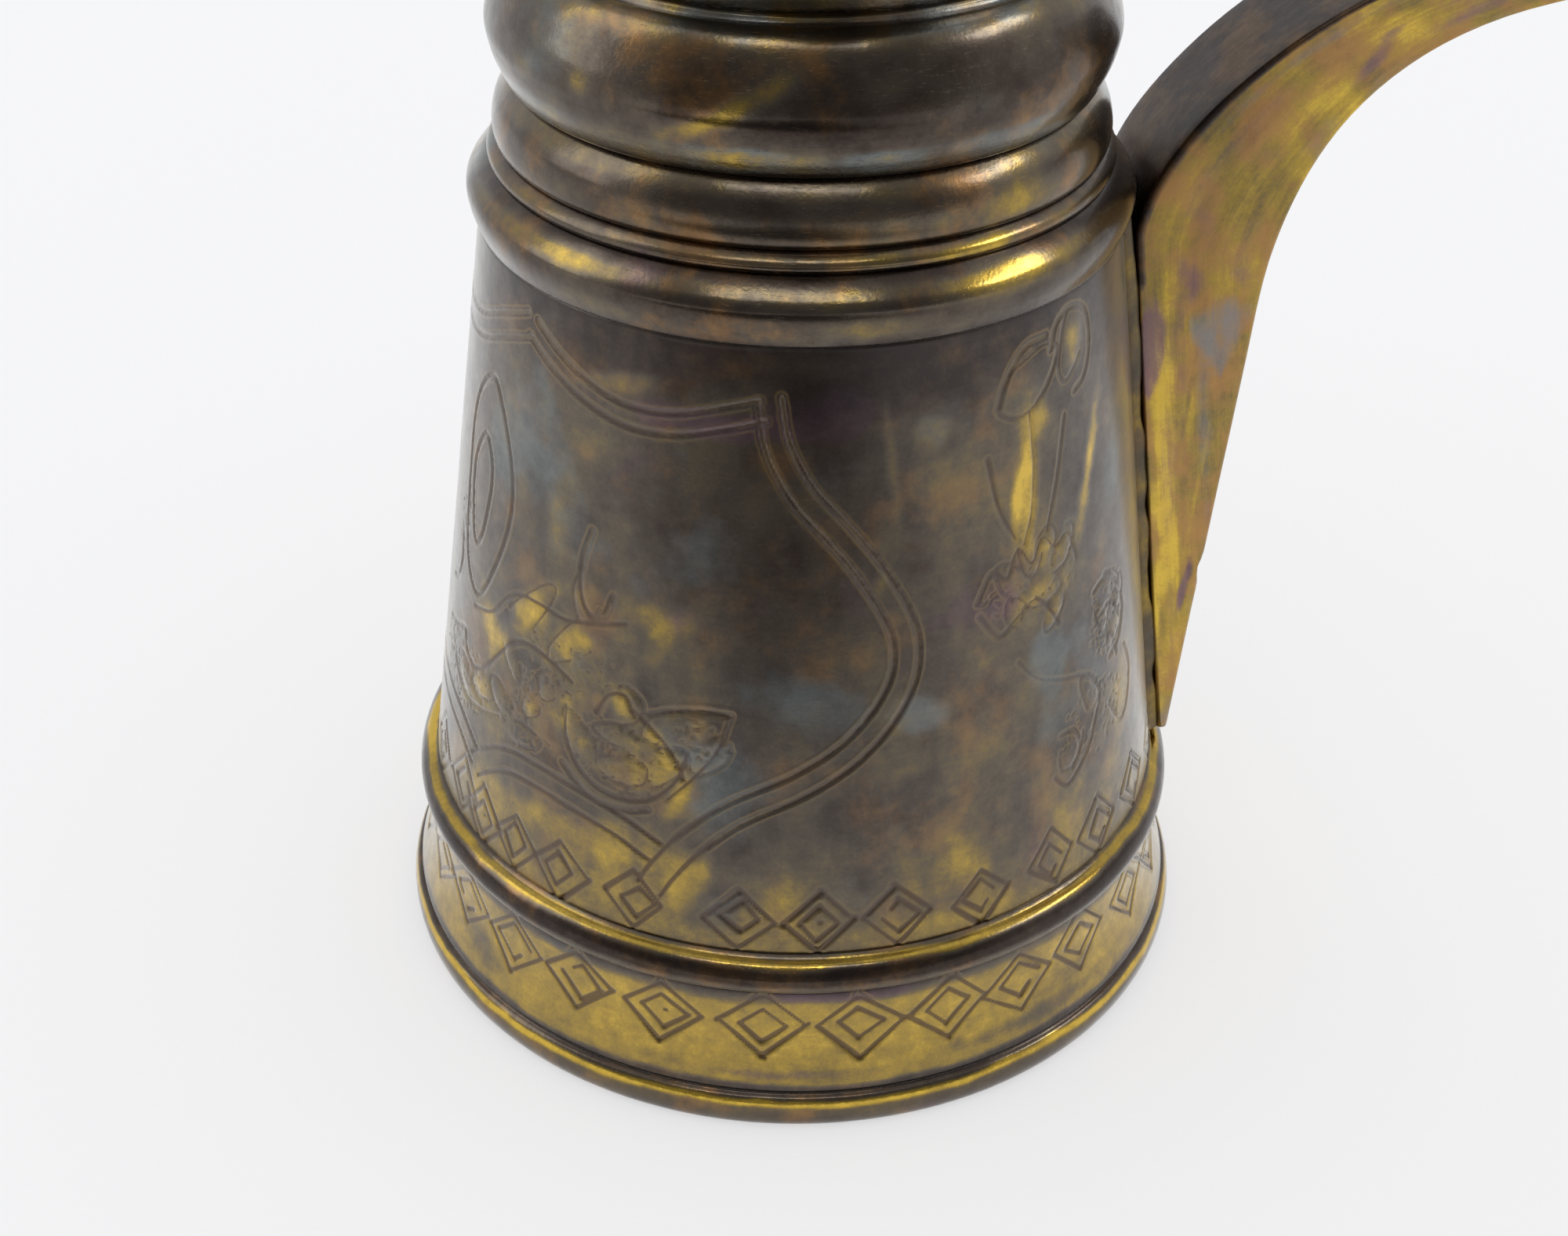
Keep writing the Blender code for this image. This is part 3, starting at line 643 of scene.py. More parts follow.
def engraved_piece(name, node, finish, side, inner, chase):
    """Turned piece whose outer side carries chased ornament and is let into the pieces next to it."""
    work = Engraving(side)
    chase(work)
    for ends in (work.depth, work.rise):
        ends[:, [0, -1]] = 0
    lapped = side.copy()
    lapped[0] += [-0.1, -LAP]
    lapped[-1] += [-0.1, LAP]
    turned_piece(name, node, finish, lapped, inner, ENGRAVED_COLUMNS, engraving=work)


def engraved_rows(profile):
    """How many rows a profile needs for its strokes to be sharp."""
    return round((profile[-1, 1] - profile[0, 1]) / ENGRAVED_PITCH)


def build_foot(plain, engraved):
    """Closing disc, rolled edge and engraved band."""
    low, high = limits("base_plate")
    edge, under, top = high[0], low[2], high[2]
    below = [(0.02, under + 0.25), (6, under + 0.2), (edge * 0.6, under + 0.1), (edge - 1.2, under),
             (edge + LAP, under + 0.1)]
    above = [(edge + LAP, top), (edge * 0.5, top - 0.1), (0.02, top - 0.15)]
    turned_piece("base_disc", "base_plate", plain, np.array(below), np.array(above))

    outer = fine_outer("foot_roll", 30)
    outer[0] = (limits("foot_roll")[1][0] - 1.8, 0.0)
    turned_piece("rolled_foot", "foot_roll", plain, outer, inner_side(outer, edge + 0.1))

    profile = cad_profile("foot_band")
    side = resample(smooth_path(profile, 12), engraved_rows(profile))
    engraved_piece("engraved_band", "foot_band", engraved, side,
                   inner_side(side, side[:, 0].min() - WALL), chase_band)


def build_body(plain, engraved):
    """Bead ring and engraved cone."""
    outer = fine_outer("waist_bead", 34)
    turned_piece("waist_bead_ring", "waist_bead", plain, outer,
                 inner_side(outer, limits("body_cone")[1][0] - WALL), BEAD_COLUMNS)

    profile = cad_profile("body_cone")
    side = resample(profile, engraved_rows(profile))
    inner = side[::-1][::len(side) // 8] - [WALL, 0]
    engraved_piece("engraved_cone", "body_cone", engraved, side, inner, chase_cone)


# Sides of the collar's rings: (height above the CAD ring's underside, distance out from its crest)
COLLAR_SIDES = [
    ("collar_lower_roll", "collar_roll", 34,
     [(-0.25, -0.6), (0.35, -0.36), (1.1, -0.1), (1.9, 0.08), (2.6, 0.08), (3.15, -0.16), (3.65, -0.6),
      (4.15, -1.12), (4.5, -1.55), (4.7, -1.9)]),
    ("collar_small_bead", "collar_bead", 22,
     [(0.2, -0.5), (0.5, -0.1), (0.9, 0.04), (1.25, -0.08), (1.6, -0.45), (1.85, -0.85)]),
    ("collar_ogee", "collar_torus", 34,
     [(0.1, -0.45), (0.5, -0.05), (1.1, 0.12), (1.9, 0.1), (2.9, -0.12), (3.6, -0.46), (4.3, -0.98),
      (4.8, -1.5), (5.05, -1.95)]),
]


def build_collar(plain):
    """The three rings between body and neck."""
    for name, node, count, knots in COLLAR_SIDES:
        low, high = limits(node)
        side = smooth_path([(high[0] + out, low[2] + up) for up, out in knots], 8)
        outer = resample(side, count)
        turned_piece(name, node, plain, outer, inner_side(outer, outer[:, 0].min() - WALL))


# Outline of the bulb: (inset from its crest, share of its height), then (inset, height above its top)
BELLY_SIDE = [(1.40, 0.02), (1.00, 0.09), (0.62, 0.175), (0.32, 0.26), (0.10, 0.36), (0, 0.46),
              (0.28, 0.60), (0.80, 0.74), (1.35, 0.865)]
BELLY_SHOULDER = [(1.85, -0.55), (2.4, 0), (3.0, 0.28), (3.5, 0.22), (3.8, -0.05)]
LIP_HALF_WIDTH = 15.0
FLARE = 1.8


def lip_reach(turn, height):
    """How far the pouring lip stands out from the cup's round wall."""
    low, high = limits("neck_cup")
    lift = np.clip((height - low[2]) / (high[2] - low[2]), 0, 1)
    around = short_way(turn, 0) / LIP_HALF_WIDTH
    return (-low[1] - high[0]) * np.exp(-around * around) * lift ** 3


def build_neck(plain):
    """Round-bellied bulb, and the flaring cup above it."""
    profile = cad_profile("neck_bulb")
    crest = limits("neck_bulb")[1][0]
    (foot, bottom), top = profile[0], profile[-1, 1]
    throat = cad_profile("neck_cup")[0, 0]
    belly = [(crest - inset, bottom + share * (top - bottom)) for inset, share in BELLY_SIDE]
    shoulder = [(crest - inset, top + up) for inset, up in BELLY_SHOULDER]
    outer = smooth_path([(foot - 1.4, bottom - 0.25), (foot - 0.65, bottom - 0.1), *belly, *shoulder,
                         (throat + 0.40, top + 0.15), (throat + 0.12, top + 0.60)], 6)
    inner = smooth_path([(throat + 0.02, top), (throat + 0.25, top - 1.2), (crest - 1.4, top - 4),
                         (crest - 0.6, bottom + 3), (foot - 1.2, bottom + 0.4),
                         (foot - 1.6, bottom - 0.2)], 6) - [WALL, 0]
    turned_piece("neck_belly", "neck_bulb", plain, resample(outer, BELLY_ROWS), inner)

    low, high = limits("neck_cup")
    share = np.linspace(0, 1, CUP_ROWS)
    wall = np.stack([throat + (high[0] - throat) * share ** FLARE, low[2] + (high[2] - low[2]) * share], 1)
    outer = wall.copy()
    outer[0] += [-0.1, -LAP]
    outer[-1] += [0, LAP]
    turned_piece("flared_cup", "neck_cup", plain, outer, (wall - [WALL, 0])[::-2], push=lip_reach)


def build_rim(plain):
    """Rolled edge of the mouth: a slightly flattened round wire that follows the lip."""
    low, high = limits("rim_wire")
    cup = limits("neck_cup")[1]
    turn = np.arange(COLUMNS)[:, None] * 360.0 / COLUMNS
    around = np.linspace(0, 2 * math.pi, WIRE_STEPS, endpoint=False)
    thick = (high[2] - low[2]) / 2 * (1 + 0.04 * skin_noise(turn, 0, 9, 55))
    radius = cup[0] - WALL / 2 + lip_reach(turn, cup[2]) + thick * np.cos(around)
    height = (low[2] + high[2]) / 2 + thick * np.sin(around) * 0.97
    points = turned_points(turn, radius, height)
    tarnish, tint = patina(turn, height)
    tarnish = tarnish - 0.30 * np.clip(np.sin(around), 0, 1)
    add_piece("rolled_rim", points, plain, tarnish, tint, points * LATHE_GRAIN, node="rim_wire")


# ---------------------------------------------------------------- handle

EYE = np.array(frame["joints"][0]["pos_m"])[[0, 2]] / MM
EYE_OVERLAP = 0.58
UPPER_BEND_X, LOWER_BEND_X = 48.0, 58.0
# Ribs on the root, the bend and the arm, and steps on the sides, edges and corners of each rib
RIBS = (60, 90, 150)
SIDE_STEPS, EDGE_STEPS, CORNER_STEPS = 26, 12, 4
CORNER_RADIUS = 0.40
EYE_CORNER_RADIUS = 0.7
NICK_HEIGHT = 33.0
ROOT_MIDDLE = 40.0

# Rubbed and stained places on the sides: (x, height, half width, half height, tilt, change, tint)
HANDLE_PATCHES = [
    (28.9, 60, 0.9, 4, 2, -0.42, 0), (29.4, 51, 1.5, 4.6, 4, -0.5, 0), (30.3, 43, 1, 6, 8, -0.46, 0),
    (31, 34, 0.9, 6, 3, -0.46, 0), (32, 23, 1.4, 6.5, 4, -0.34, 0), (33, 41, 0.25, 6, 4, -0.32, 0),
    (33.5, 45, 1.6, 8, 4, 0.1, 0.2), (33.4, 56, 2.8, 3.2, 0, 0.12, 0.75),
    (30.6, 60, 0.9, 3, -25, 0.12, -0.5), (31.6, 64, 1, 3.6, -30, 0.08, -0.15),
    (27.6, 55, 1, 5.6, 3, 0.06, -1.2), (28, 59, 0.8, 2.4, 0, 0.02, 0.7),
    (34.4, 61.4, 1.8, 2.6, 0, -0.22, -0.1), (36.2, 66.5, 1.1, 3, 0, -0.1, -0.1),
    (33, 31.6, 0.35, 2.6, 4, 0.34, -0.7), (33.3, 33.2, 0.25, 1.3, -8, 0.6, -0.4),
    (33.4, 72.5, 3.4, 3.6, -40, 0.1, 0), (30, 67, 1.8, 3, -20, -0.05, 0),
    (40.6, 74, 2.3, 3.6, -45, -0.42, 0), (41.4, 74.6, 1.3, 1.6, -45, -0.1, -0.2),
    (37.8, 70.5, 1.1, 3, -25, -0.3, 0), (34.8, 68, 0.3, 7, -16, 0.22, 0.1), (31.4, 52, 0.18, 8, 3, 0.3, 0),
    (39.6, 79.4, 0.3, 4.4, -40, 0.24, 0), (43.4, 80.4, 4.2, 1.7, 20, -0.38, 0),
    (42.6, 77.9, 2.6, 0.6, -62, 0.2, -0.35), (48, 80.6, 4, 1.2, -35, -0.02, -0.3),
    (38.8, 77.6, 3, 2, -45, 0.12, 0.1), (52, 82.4, 5, 1, -25, 0.05, -0.3), (60, 86, 7, 1.6, -9, -0.25, 0),
    (78, 89, 9, 1.4, -9, 0.14, 0.5), (96, 92, 8, 1.5, -9, -0.22, 0), (112, 95, 9, 1.2, -9, 0.12, -0.3),
    (130, 97, 8, 1.4, -9, -0.25, 0), (146, 100, 6, 1.2, -9, 0.1, 0.6),
]
HANDLE_PATCH_STRENGTH = 0.45
HANDLE_HUE_STRENGTH = 1.25


def side_outline(node):
    """The closed outline of the node's +Y side in the XZ plane, in order."""
    build = bmesh.new()
    build.from_mesh(frame["nodes"][node].data)
    bmesh.ops.remove_doubles(build, verts=build.verts, dist=0.00001)
    build.normal_update()
    links = {}
    for edge in build.edges:
        if len(edge.link_faces) != 2 or min(vert.co.y for vert in edge.verts) <= 0:
            continue
        facing = sorted(abs(face.normal.y) for face in edge.link_faces)
        if facing[0] < 0.7 < facing[1]:
            first, second = edge.verts
            links.setdefault(first.index, []).append(second.index)
            links.setdefault(second.index, []).append(first.index)
    places = {vert.index: (vert.co.x / MM, vert.co.z / MM) for vert in build.verts}
    build.free()
    start = min(links, key=lambda index: places[index][1])
    loop, last, here = [start], None, start
    while True:
        following = [index for index in links[here] if index != last]
        if not following or following[0] == start:
            break
        last, here = here, following[0]
        loop.append(here)
    return np.array([places[index] for index in loop])


def evened(chain, spacing=6.0):
    """The chain with extra points on its long straight runs."""
    points = [chain[:1]]
    for start, end in zip(chain[:-1], chain[1:]):
        count = max(1, round(float(np.hypot(*(end - start))) / spacing))
        points.append(start + (end - start) * np.linspace(0, 1, count + 1)[1:, None])
    return np.vstack(points)


def handle_edges(node):
    """The handle's upper edge (against the pot, then on top) and lower edge, from the tip to the eye,
    and the corner of the upper edge where the root leaves the pot."""
    loop = side_outline(node)
    far = int(np.argmax(loop[:, 0]))
    chains = loop[:far + 1], np.vstack([loop[far:], loop[:1]])[::-1]
    upper, lower = sorted(chains, key=lambda chain: np.interp(ROOT_MIDDLE, chain[:, 1], chain[:, 0]))
    heading = np.unwrap(np.arctan2(*np.diff(upper, axis=0).T[::-1]))
    sharp = np.abs(np.diff(heading))
    sharp[:max(1, int(np.argmax(upper[:, 1] > ROOT_MIDDLE)) - 1)] = 0
    sharp[upper[1:-1, 0] > UPPER_BEND_X] = 0
    corner = int(np.argmax(sharp)) + 1
    root, arm, lower = (smooth_path(evened(part), 3) for part in (upper[:corner + 1], upper[corner:], lower))
    return np.vstack([root, arm[1:]]), lower, upper[corner]


def handle_ribs(upper, lower, corner):
    """Matching points on both edges, rib by rib from the tip to just inside the eye."""
    stop = EYE[0] - EYE_OVERLAP * (limits("handle_arm")[1][0] - EYE[0])
    ribs = []
    for chain, drop, bend in ((upper, 0.01, UPPER_BEND_X), (lower, 4.0, LOWER_BEND_X)):
        passed = chain[:, 1] > corner[1] - drop, chain[:, 0] > bend, chain[:, 0] > stop
        stations = lengths(chain)[[0] + [int(np.argmax(past)) for past in passed]]
        places = [np.linspace(stations[k], stations[k + 1], RIBS[k], endpoint=k == 2) for k in range(3)]
        ribs.append(points_along(chain, np.concatenate(places)))
    return ribs


def section_outline(width, half, corner):
    """Rounded rectangle as (distance from the upper edge, y), closed, for one rib."""
    corner = min(corner, 0.42 * width, 0.42 * half)
    near, far, low, high = corner, width - corner, corner - half, half - corner
    sides = [((near, -half), (far, -half), SIDE_STEPS, (far, low)),
             ((width, low), (width, high), EDGE_STEPS, (far, high)),
             ((far, half), (near, half), SIDE_STEPS, (near, high)),
             ((0, high), (0, low), EDGE_STEPS, (near, low))]
    points = []
    for quarter, (start, end, count, centre) in enumerate(sides):
        share = np.linspace(0, 1, count)[:, None]
        points.append(np.array(start) * (1 - share) + np.array(end) * share)
        turn = math.radians(90 * quarter - 90) + np.linspace(0, math.pi / 2, CORNER_STEPS + 2)[1:-1]
        points.append(np.array(centre) + corner * np.stack([np.cos(turn), np.sin(turn)], 1))
    return np.vstack(points)


def eye_half():
    """Half the handle's thickness beyond the middle of its eye."""
    cast = cad_points("handle_arm")
    return np.abs(cast[cast[:, 0] > EYE[0], 1]).max()


def build_handle(finish):
    """Cast bar set on edge: filed flat sides with softened corners, dented and stained by use."""
    full, end_half = limits("handle_arm")[1][1], eye_half()
    top, under = handle_ribs(*handle_edges("handle_arm"))
    rings, flows = [], []
    for place, start, end in zip(lengths((top + under) / 2), top, under):
        taper = np.clip(((start[0] + end[0]) / 2 - LOWER_BEND_X) / (EYE[0] - LOWER_BEND_X), 0, 1)
        width = float(np.hypot(*(end - start)))
        across, aside = section_outline(width, full + (end_half - full) * taper, CORNER_RADIUS).T
        down = across / max(width, 1e-6)
        belly = 1 - 0.018 * (2 * down - 1) ** 2
        spot = start + down[:, None] * (end - start)
        rings.append(np.stack([spot[:, 0], aside * belly, spot[:, 1]], 1))
        flows.append(np.stack([np.full(len(across), place * 0.07), across, aside], 1))
    points, flow = np.array(rings), np.array(flows)

    along, across = flow[..., 0], flow[..., 1]
    sway = cell_noise(along * 2.2 + 3, across / 4 + 5, 40, 77)
    filed = cell_noise(along * 1.1 + 1, across / 0.7 + 5, 40, 78)
    points[..., 1] += np.sign(points[..., 1]) * (0.06 * sway + 0.018 * filed)
    outer_edge = across > across.max(1)[:, None] - 0.4
    nick = np.exp(-((points[..., 2] - NICK_HEIGHT) / 0.9) ** 2) * outer_edge * (points[..., 2] < ROOT_MIDDLE)
    points[..., 0] -= 0.28 * nick
    bar = add_piece("handle_bar", points, finish, *handle_patina(points, flow), flow, node="handle_arm",
                    capped=True)
    bar.data.set_sharp_from_angle(angle=math.radians(60))


def handle_patina(points, flow):
    """Tarnish and tint over the handle: streaked gold sides, a darker top face near the pot, and an edge
    against the body darkened partly as grime and partly as painted shade.
    """
    x, y, z = np.moveaxis(points, -1, 0)
    along, depth = flow[..., 0], flow[..., 1]
    across = depth / np.maximum(depth.max(1)[:, None], 1e-6)
    side = np.sign(y) * 40

    def grain(stretch, size, shift, period, seed):
        return cell_noise(along * stretch + 20, depth / size + shift + side, period, seed)

    tarnish = 0.29 + 0.06 * grain(2.0, 3.0, 9, 60, 11) + 0.07 * grain(0.9, 0.8, 9, 60, 12)
    tint = 0.45 * grain(1.2, 1.8, 4, 60, 13)
    frayed = 0.30 * grain(6, 0.5, 3, 300, 14) + 0.45 * grain(5, 1.4, 3, 300, 15)
    for centre, level, width, tall, tilt, change, hue in HANDLE_PATCHES:
        cover = 1 - fade(0.2, 1.5, tilted_reach(x - centre, z - level, width, tall, tilt) + frayed)
        tarnish = tarnish + HANDLE_PATCH_STRENGTH * change * cover
        tint = tint + HANDLE_HUE_STRENGTH * hue * cover
    top_face = (across < 0.04) * (z > 60)
    # The top face is darkened near the pot, less towards the eye
    dark_top = top_face * (0.95 - 0.72 * fade(36, 80, x))
    # Darker edge where the root lies against the body: partly grime in the joint, partly painted shade
    seam = (1 - fade(0.0, 0.10, across)) * (z < 70) * 0.12
    return tarnish + dark_top + seam, np.clip(tint * (1 - 0.7 * top_face), -1, 1)


def build_eye(finish):
    """Pierced round end of the handle."""
    cast = cad_points("handle_arm")
    hole = np.hypot(cast[:, 0] - EYE[0], cast[:, 2] - EYE[1]).min()
    section = section_outline(limits("handle_arm")[1][0] - EYE[0] - hole, eye_half(), EYE_CORNER_RADIUS)
    angle = np.linspace(0, 2 * math.pi, EYE_STEPS, endpoint=False)[:, None]
    reach, aside = section[:, 0] + hole, section[:, 1]
    points = grid(EYE[0] + reach * np.cos(angle), aside, EYE[1] - reach * np.sin(angle))
    flow = grid(angle * 0.3, reach, aside)
    tarnish = 0.45 + 0.15 * cell_noise(flow[..., 0] * 6, flow[..., 1], 40, 9) + 0.25 * (reach < hole + 0.3)
    add_piece("handle_eye", points, finish, tarnish, 0, flow)


SOLDER_REACH = 0.85
SOLDER_SEEDS = {"near": 3, "far": 4}
SOLDER_RIBS = 160


def build_solder(finish):
    """Lumpy hollow fillets of dark solder in both corners between the handle's root and the body."""
    profile = cad_profile("body_cone")
    half = limits("handle_arm")[1][1]
    for place, seed in SOLDER_SEEDS.items():
        low, high = limits("solder_seam_" + place)
        side = np.sign(low[1] + high[1])
        height = np.linspace(high[2], low[2], SOLDER_RIBS)
        radius = np.interp(height, profile[:, 1], profile[:, 0])
        corner = grid(np.sqrt(radius ** 2 - half ** 2), side * half, height)
        outward = corner * [1, 1, 0] / radius[:, None]
        around = grid(-outward[:, 1], outward[:, 0], 0) * side
        lump = 1 + 0.22 * cell_noise(np.arange(SOLDER_RIBS) / 7, 0 * height, 40, seed)
        width = (SOLDER_REACH * lump)[:, None]
        on_body = corner + around * width - 0.10 * outward
        on_handle = corner + [1, 0, 0] * width + np.array([0, -0.08 * side, 0])
        hollow = corner + 0.22 * width * (around + [1, 0, 0])
        hidden = corner - 0.5 * outward - [0, 0.5 * side, 0]
        share = np.linspace(0, 1, 10)[:, None, None]
        arc = (1 - share) ** 2 * on_body + 2 * share * (1 - share) * hollow + share ** 2 * on_handle
        points = np.concatenate([arc, hidden[None]]).transpose(1, 0, 2)
        tarnish = 0.43 + 0.16 * cell_noise(points[..., 2] / 2, points[..., 1], 40, seed)
        add_piece("solder_fillet_" + place, points, finish, tarnish, 0.2, points * LATHE_GRAIN,
                  node="solder_seam_" + place, capped=True)


def build_hanging_ring(finish):
    """Bent wire ring through the eye, with the lump where its ends are soldered."""
    low, high = limits("hanging_ring")
    wire = (high[0] - low[0]) / 2
    outer, centre = (high[2] - low[2]) / 2, (high[2] + low[2]) / 2
    angle = np.linspace(0, 2 * math.pi, RING_STEPS, endpoint=False)[:, None]
    turn = np.linspace(0, 2 * math.pi, WIRE_STEPS, endpoint=False)[None]
    joint = np.exp(-((angle - math.pi * 1.25) / 0.12) ** 2)
    thick = wire * (0.95 + 0.03 * np.sin(5 * angle + 1) + 0.10 * joint)
    reach = (outer - wire) * (1 + 0.012 * np.cos(2 * angle)) + thick * np.cos(turn)
    reach = np.minimum(reach, outer - 0.02)
    points = grid(low[0] + wire + thick * np.sin(turn), reach * np.sin(angle), centre + reach * np.cos(angle))
    flow = grid(angle * 0.3, thick * np.cos(turn), thick * np.sin(turn))
    tarnish = 0.45 + 0.12 * cell_noise(*np.broadcast_arrays(angle * 3, turn), 40, 8) + 0.3 * joint
    add_piece("hanging_wire_ring", points, finish, tarnish, 0, flow, node="hanging_ring", body="ring")


# ---------------------------------------------------------------- materials

TARNISH_STOPS = [
    (0.00, (0.66, 0.44, 0.055)), (0.14, (0.43, 0.285, 0.045)), (0.28, (0.275, 0.190, 0.048)),
    (0.40, (0.175, 0.128, 0.058)), (0.52, (0.122, 0.096, 0.062)), (0.66, (0.088, 0.069, 0.052)),
    (0.82, (0.056, 0.039, 0.029)), (1.00, (0.028, 0.018, 0.014)),
]
STAIN_DULLING = [(0.3, (1.25, 1.25, 1.25)), (0.6, (0.85, 0.85, 0.85)), (1.0, (0.30, 0.30, 0.30))]
BLUE_GREY = (0.155, 0.180, 0.185)
VIOLET = (0.150, 0.085, 0.105)
OCHRE = (0.330, 0.170, 0.055)
# Gold of the groove edges in heavy tarnish: partly rubbed wear, partly painted highlight
EDGE_WEAR_AND_GLINT_GOLD = (0.34, 0.23, 0.09)
GROOVE_DARK = (0.050, 0.022, 0.018)
# Lighter groove colour in heavy tarnish: partly worn metal, partly painted light on the groove walls
GROOVE_WORN_AND_LIT = (0.185, 0.135, 0.072)
# Light grey painted in toward grazing angles as a sheen on the edges
PAINTED_SHEEN_GREY = (0.60, 0.60, 0.57)
BUMP_HEIGHT = 0.00006


class Nodes:
    """Builds the node tree of a material or a world a node at a time."""

    def __init__(self, owner):
        owner.use_nodes = True
        self.owner = owner
        self.tree = owner.node_tree

    def put(self, socket, value):
        """Link or set an input."""
        if isinstance(value, bpy.types.NodeSocket):
            self.tree.links.new(value, socket)
        elif isinstance(value, tuple) and len(socket.default_value) == 4 and len(value) == 3:
            socket.default_value = (*value, 1.0)
        else:
            socket.default_value = value

    def node(self, kind, *inputs, **settings):
        """New node with its first inputs and its settings."""
        made = self.tree.nodes.new("ShaderNode" + kind)
        for key, value in settings.items():
            setattr(made, key, value)
        for socket, value in zip(made.inputs, inputs):
            self.put(socket, value)
        return made

    def surface(self, **inputs):
        """Set inputs of the material's shader, named with _ for a space."""
        shader = self.tree.nodes["Principled BSDF"]
        for title, value in inputs.items():
            self.put(shader.inputs[title.replace("_", " ")], value)

    def attribute(self, name, output="Fac"):
        return self.node("Attribute", attribute_name=name).outputs[output]

    def coordinates(self, kind):
        return self.node("TexCoord").outputs[kind]

    def maths(self, operation, first, second):
        return self.node("Math", first, second, operation=operation).outputs[0]

    def times(self, first, second):
        return self.maths("MULTIPLY", first, second)

    def total(self, *terms):
        result = terms[0]
        for term in terms[1:]:
            result = self.maths("ADD", result, term)
        return result

    def vary(self, noise, amount):
        """Noise moved to swing about zero, times an amount."""
        return self.times(self.maths("SUBTRACT", noise, 0.5), amount)

    def spread(self, value, low, high, out_low=0.0, out_high=1.0):
        """Smooth step from out_low at low to out_high at high."""
        return self.node("MapRange", value, low, high, out_low, out_high,
                         interpolation_type="SMOOTHSTEP").outputs[0]

    def mix(self, share, first, second, blend="MIX"):
        made = self.node("Mix", share, data_type="RGBA", blend_type=blend)
        self.put(made.inputs[6], first)
        self.put(made.inputs[7], second)
        return made.outputs[2]

    def noise(self, place, scale, detail=3.0, rough=0.55, offset=0.0):
        shifted = self.node("VectorMath", place, (offset, offset * 0.7, offset * 1.3), operation="ADD")
        made = self.node("TexNoise")
        for title, value in (("Vector", shifted.outputs[0]), ("Scale", scale), ("Detail", detail),
                             ("Roughness", rough)):
            self.put(made.inputs[title], value)
        return made.outputs[0]

    def ramp(self, value, stops):
        made = self.node("ValToRGB", value)
        scale = made.color_ramp
        while len(scale.elements) < len(stops):
            scale.elements.new(1.0)
        for element, (at, colour) in zip(scale.elements, stops):
            element.position = at
            element.color = (*colour, 1.0)
        return made.outputs[0]


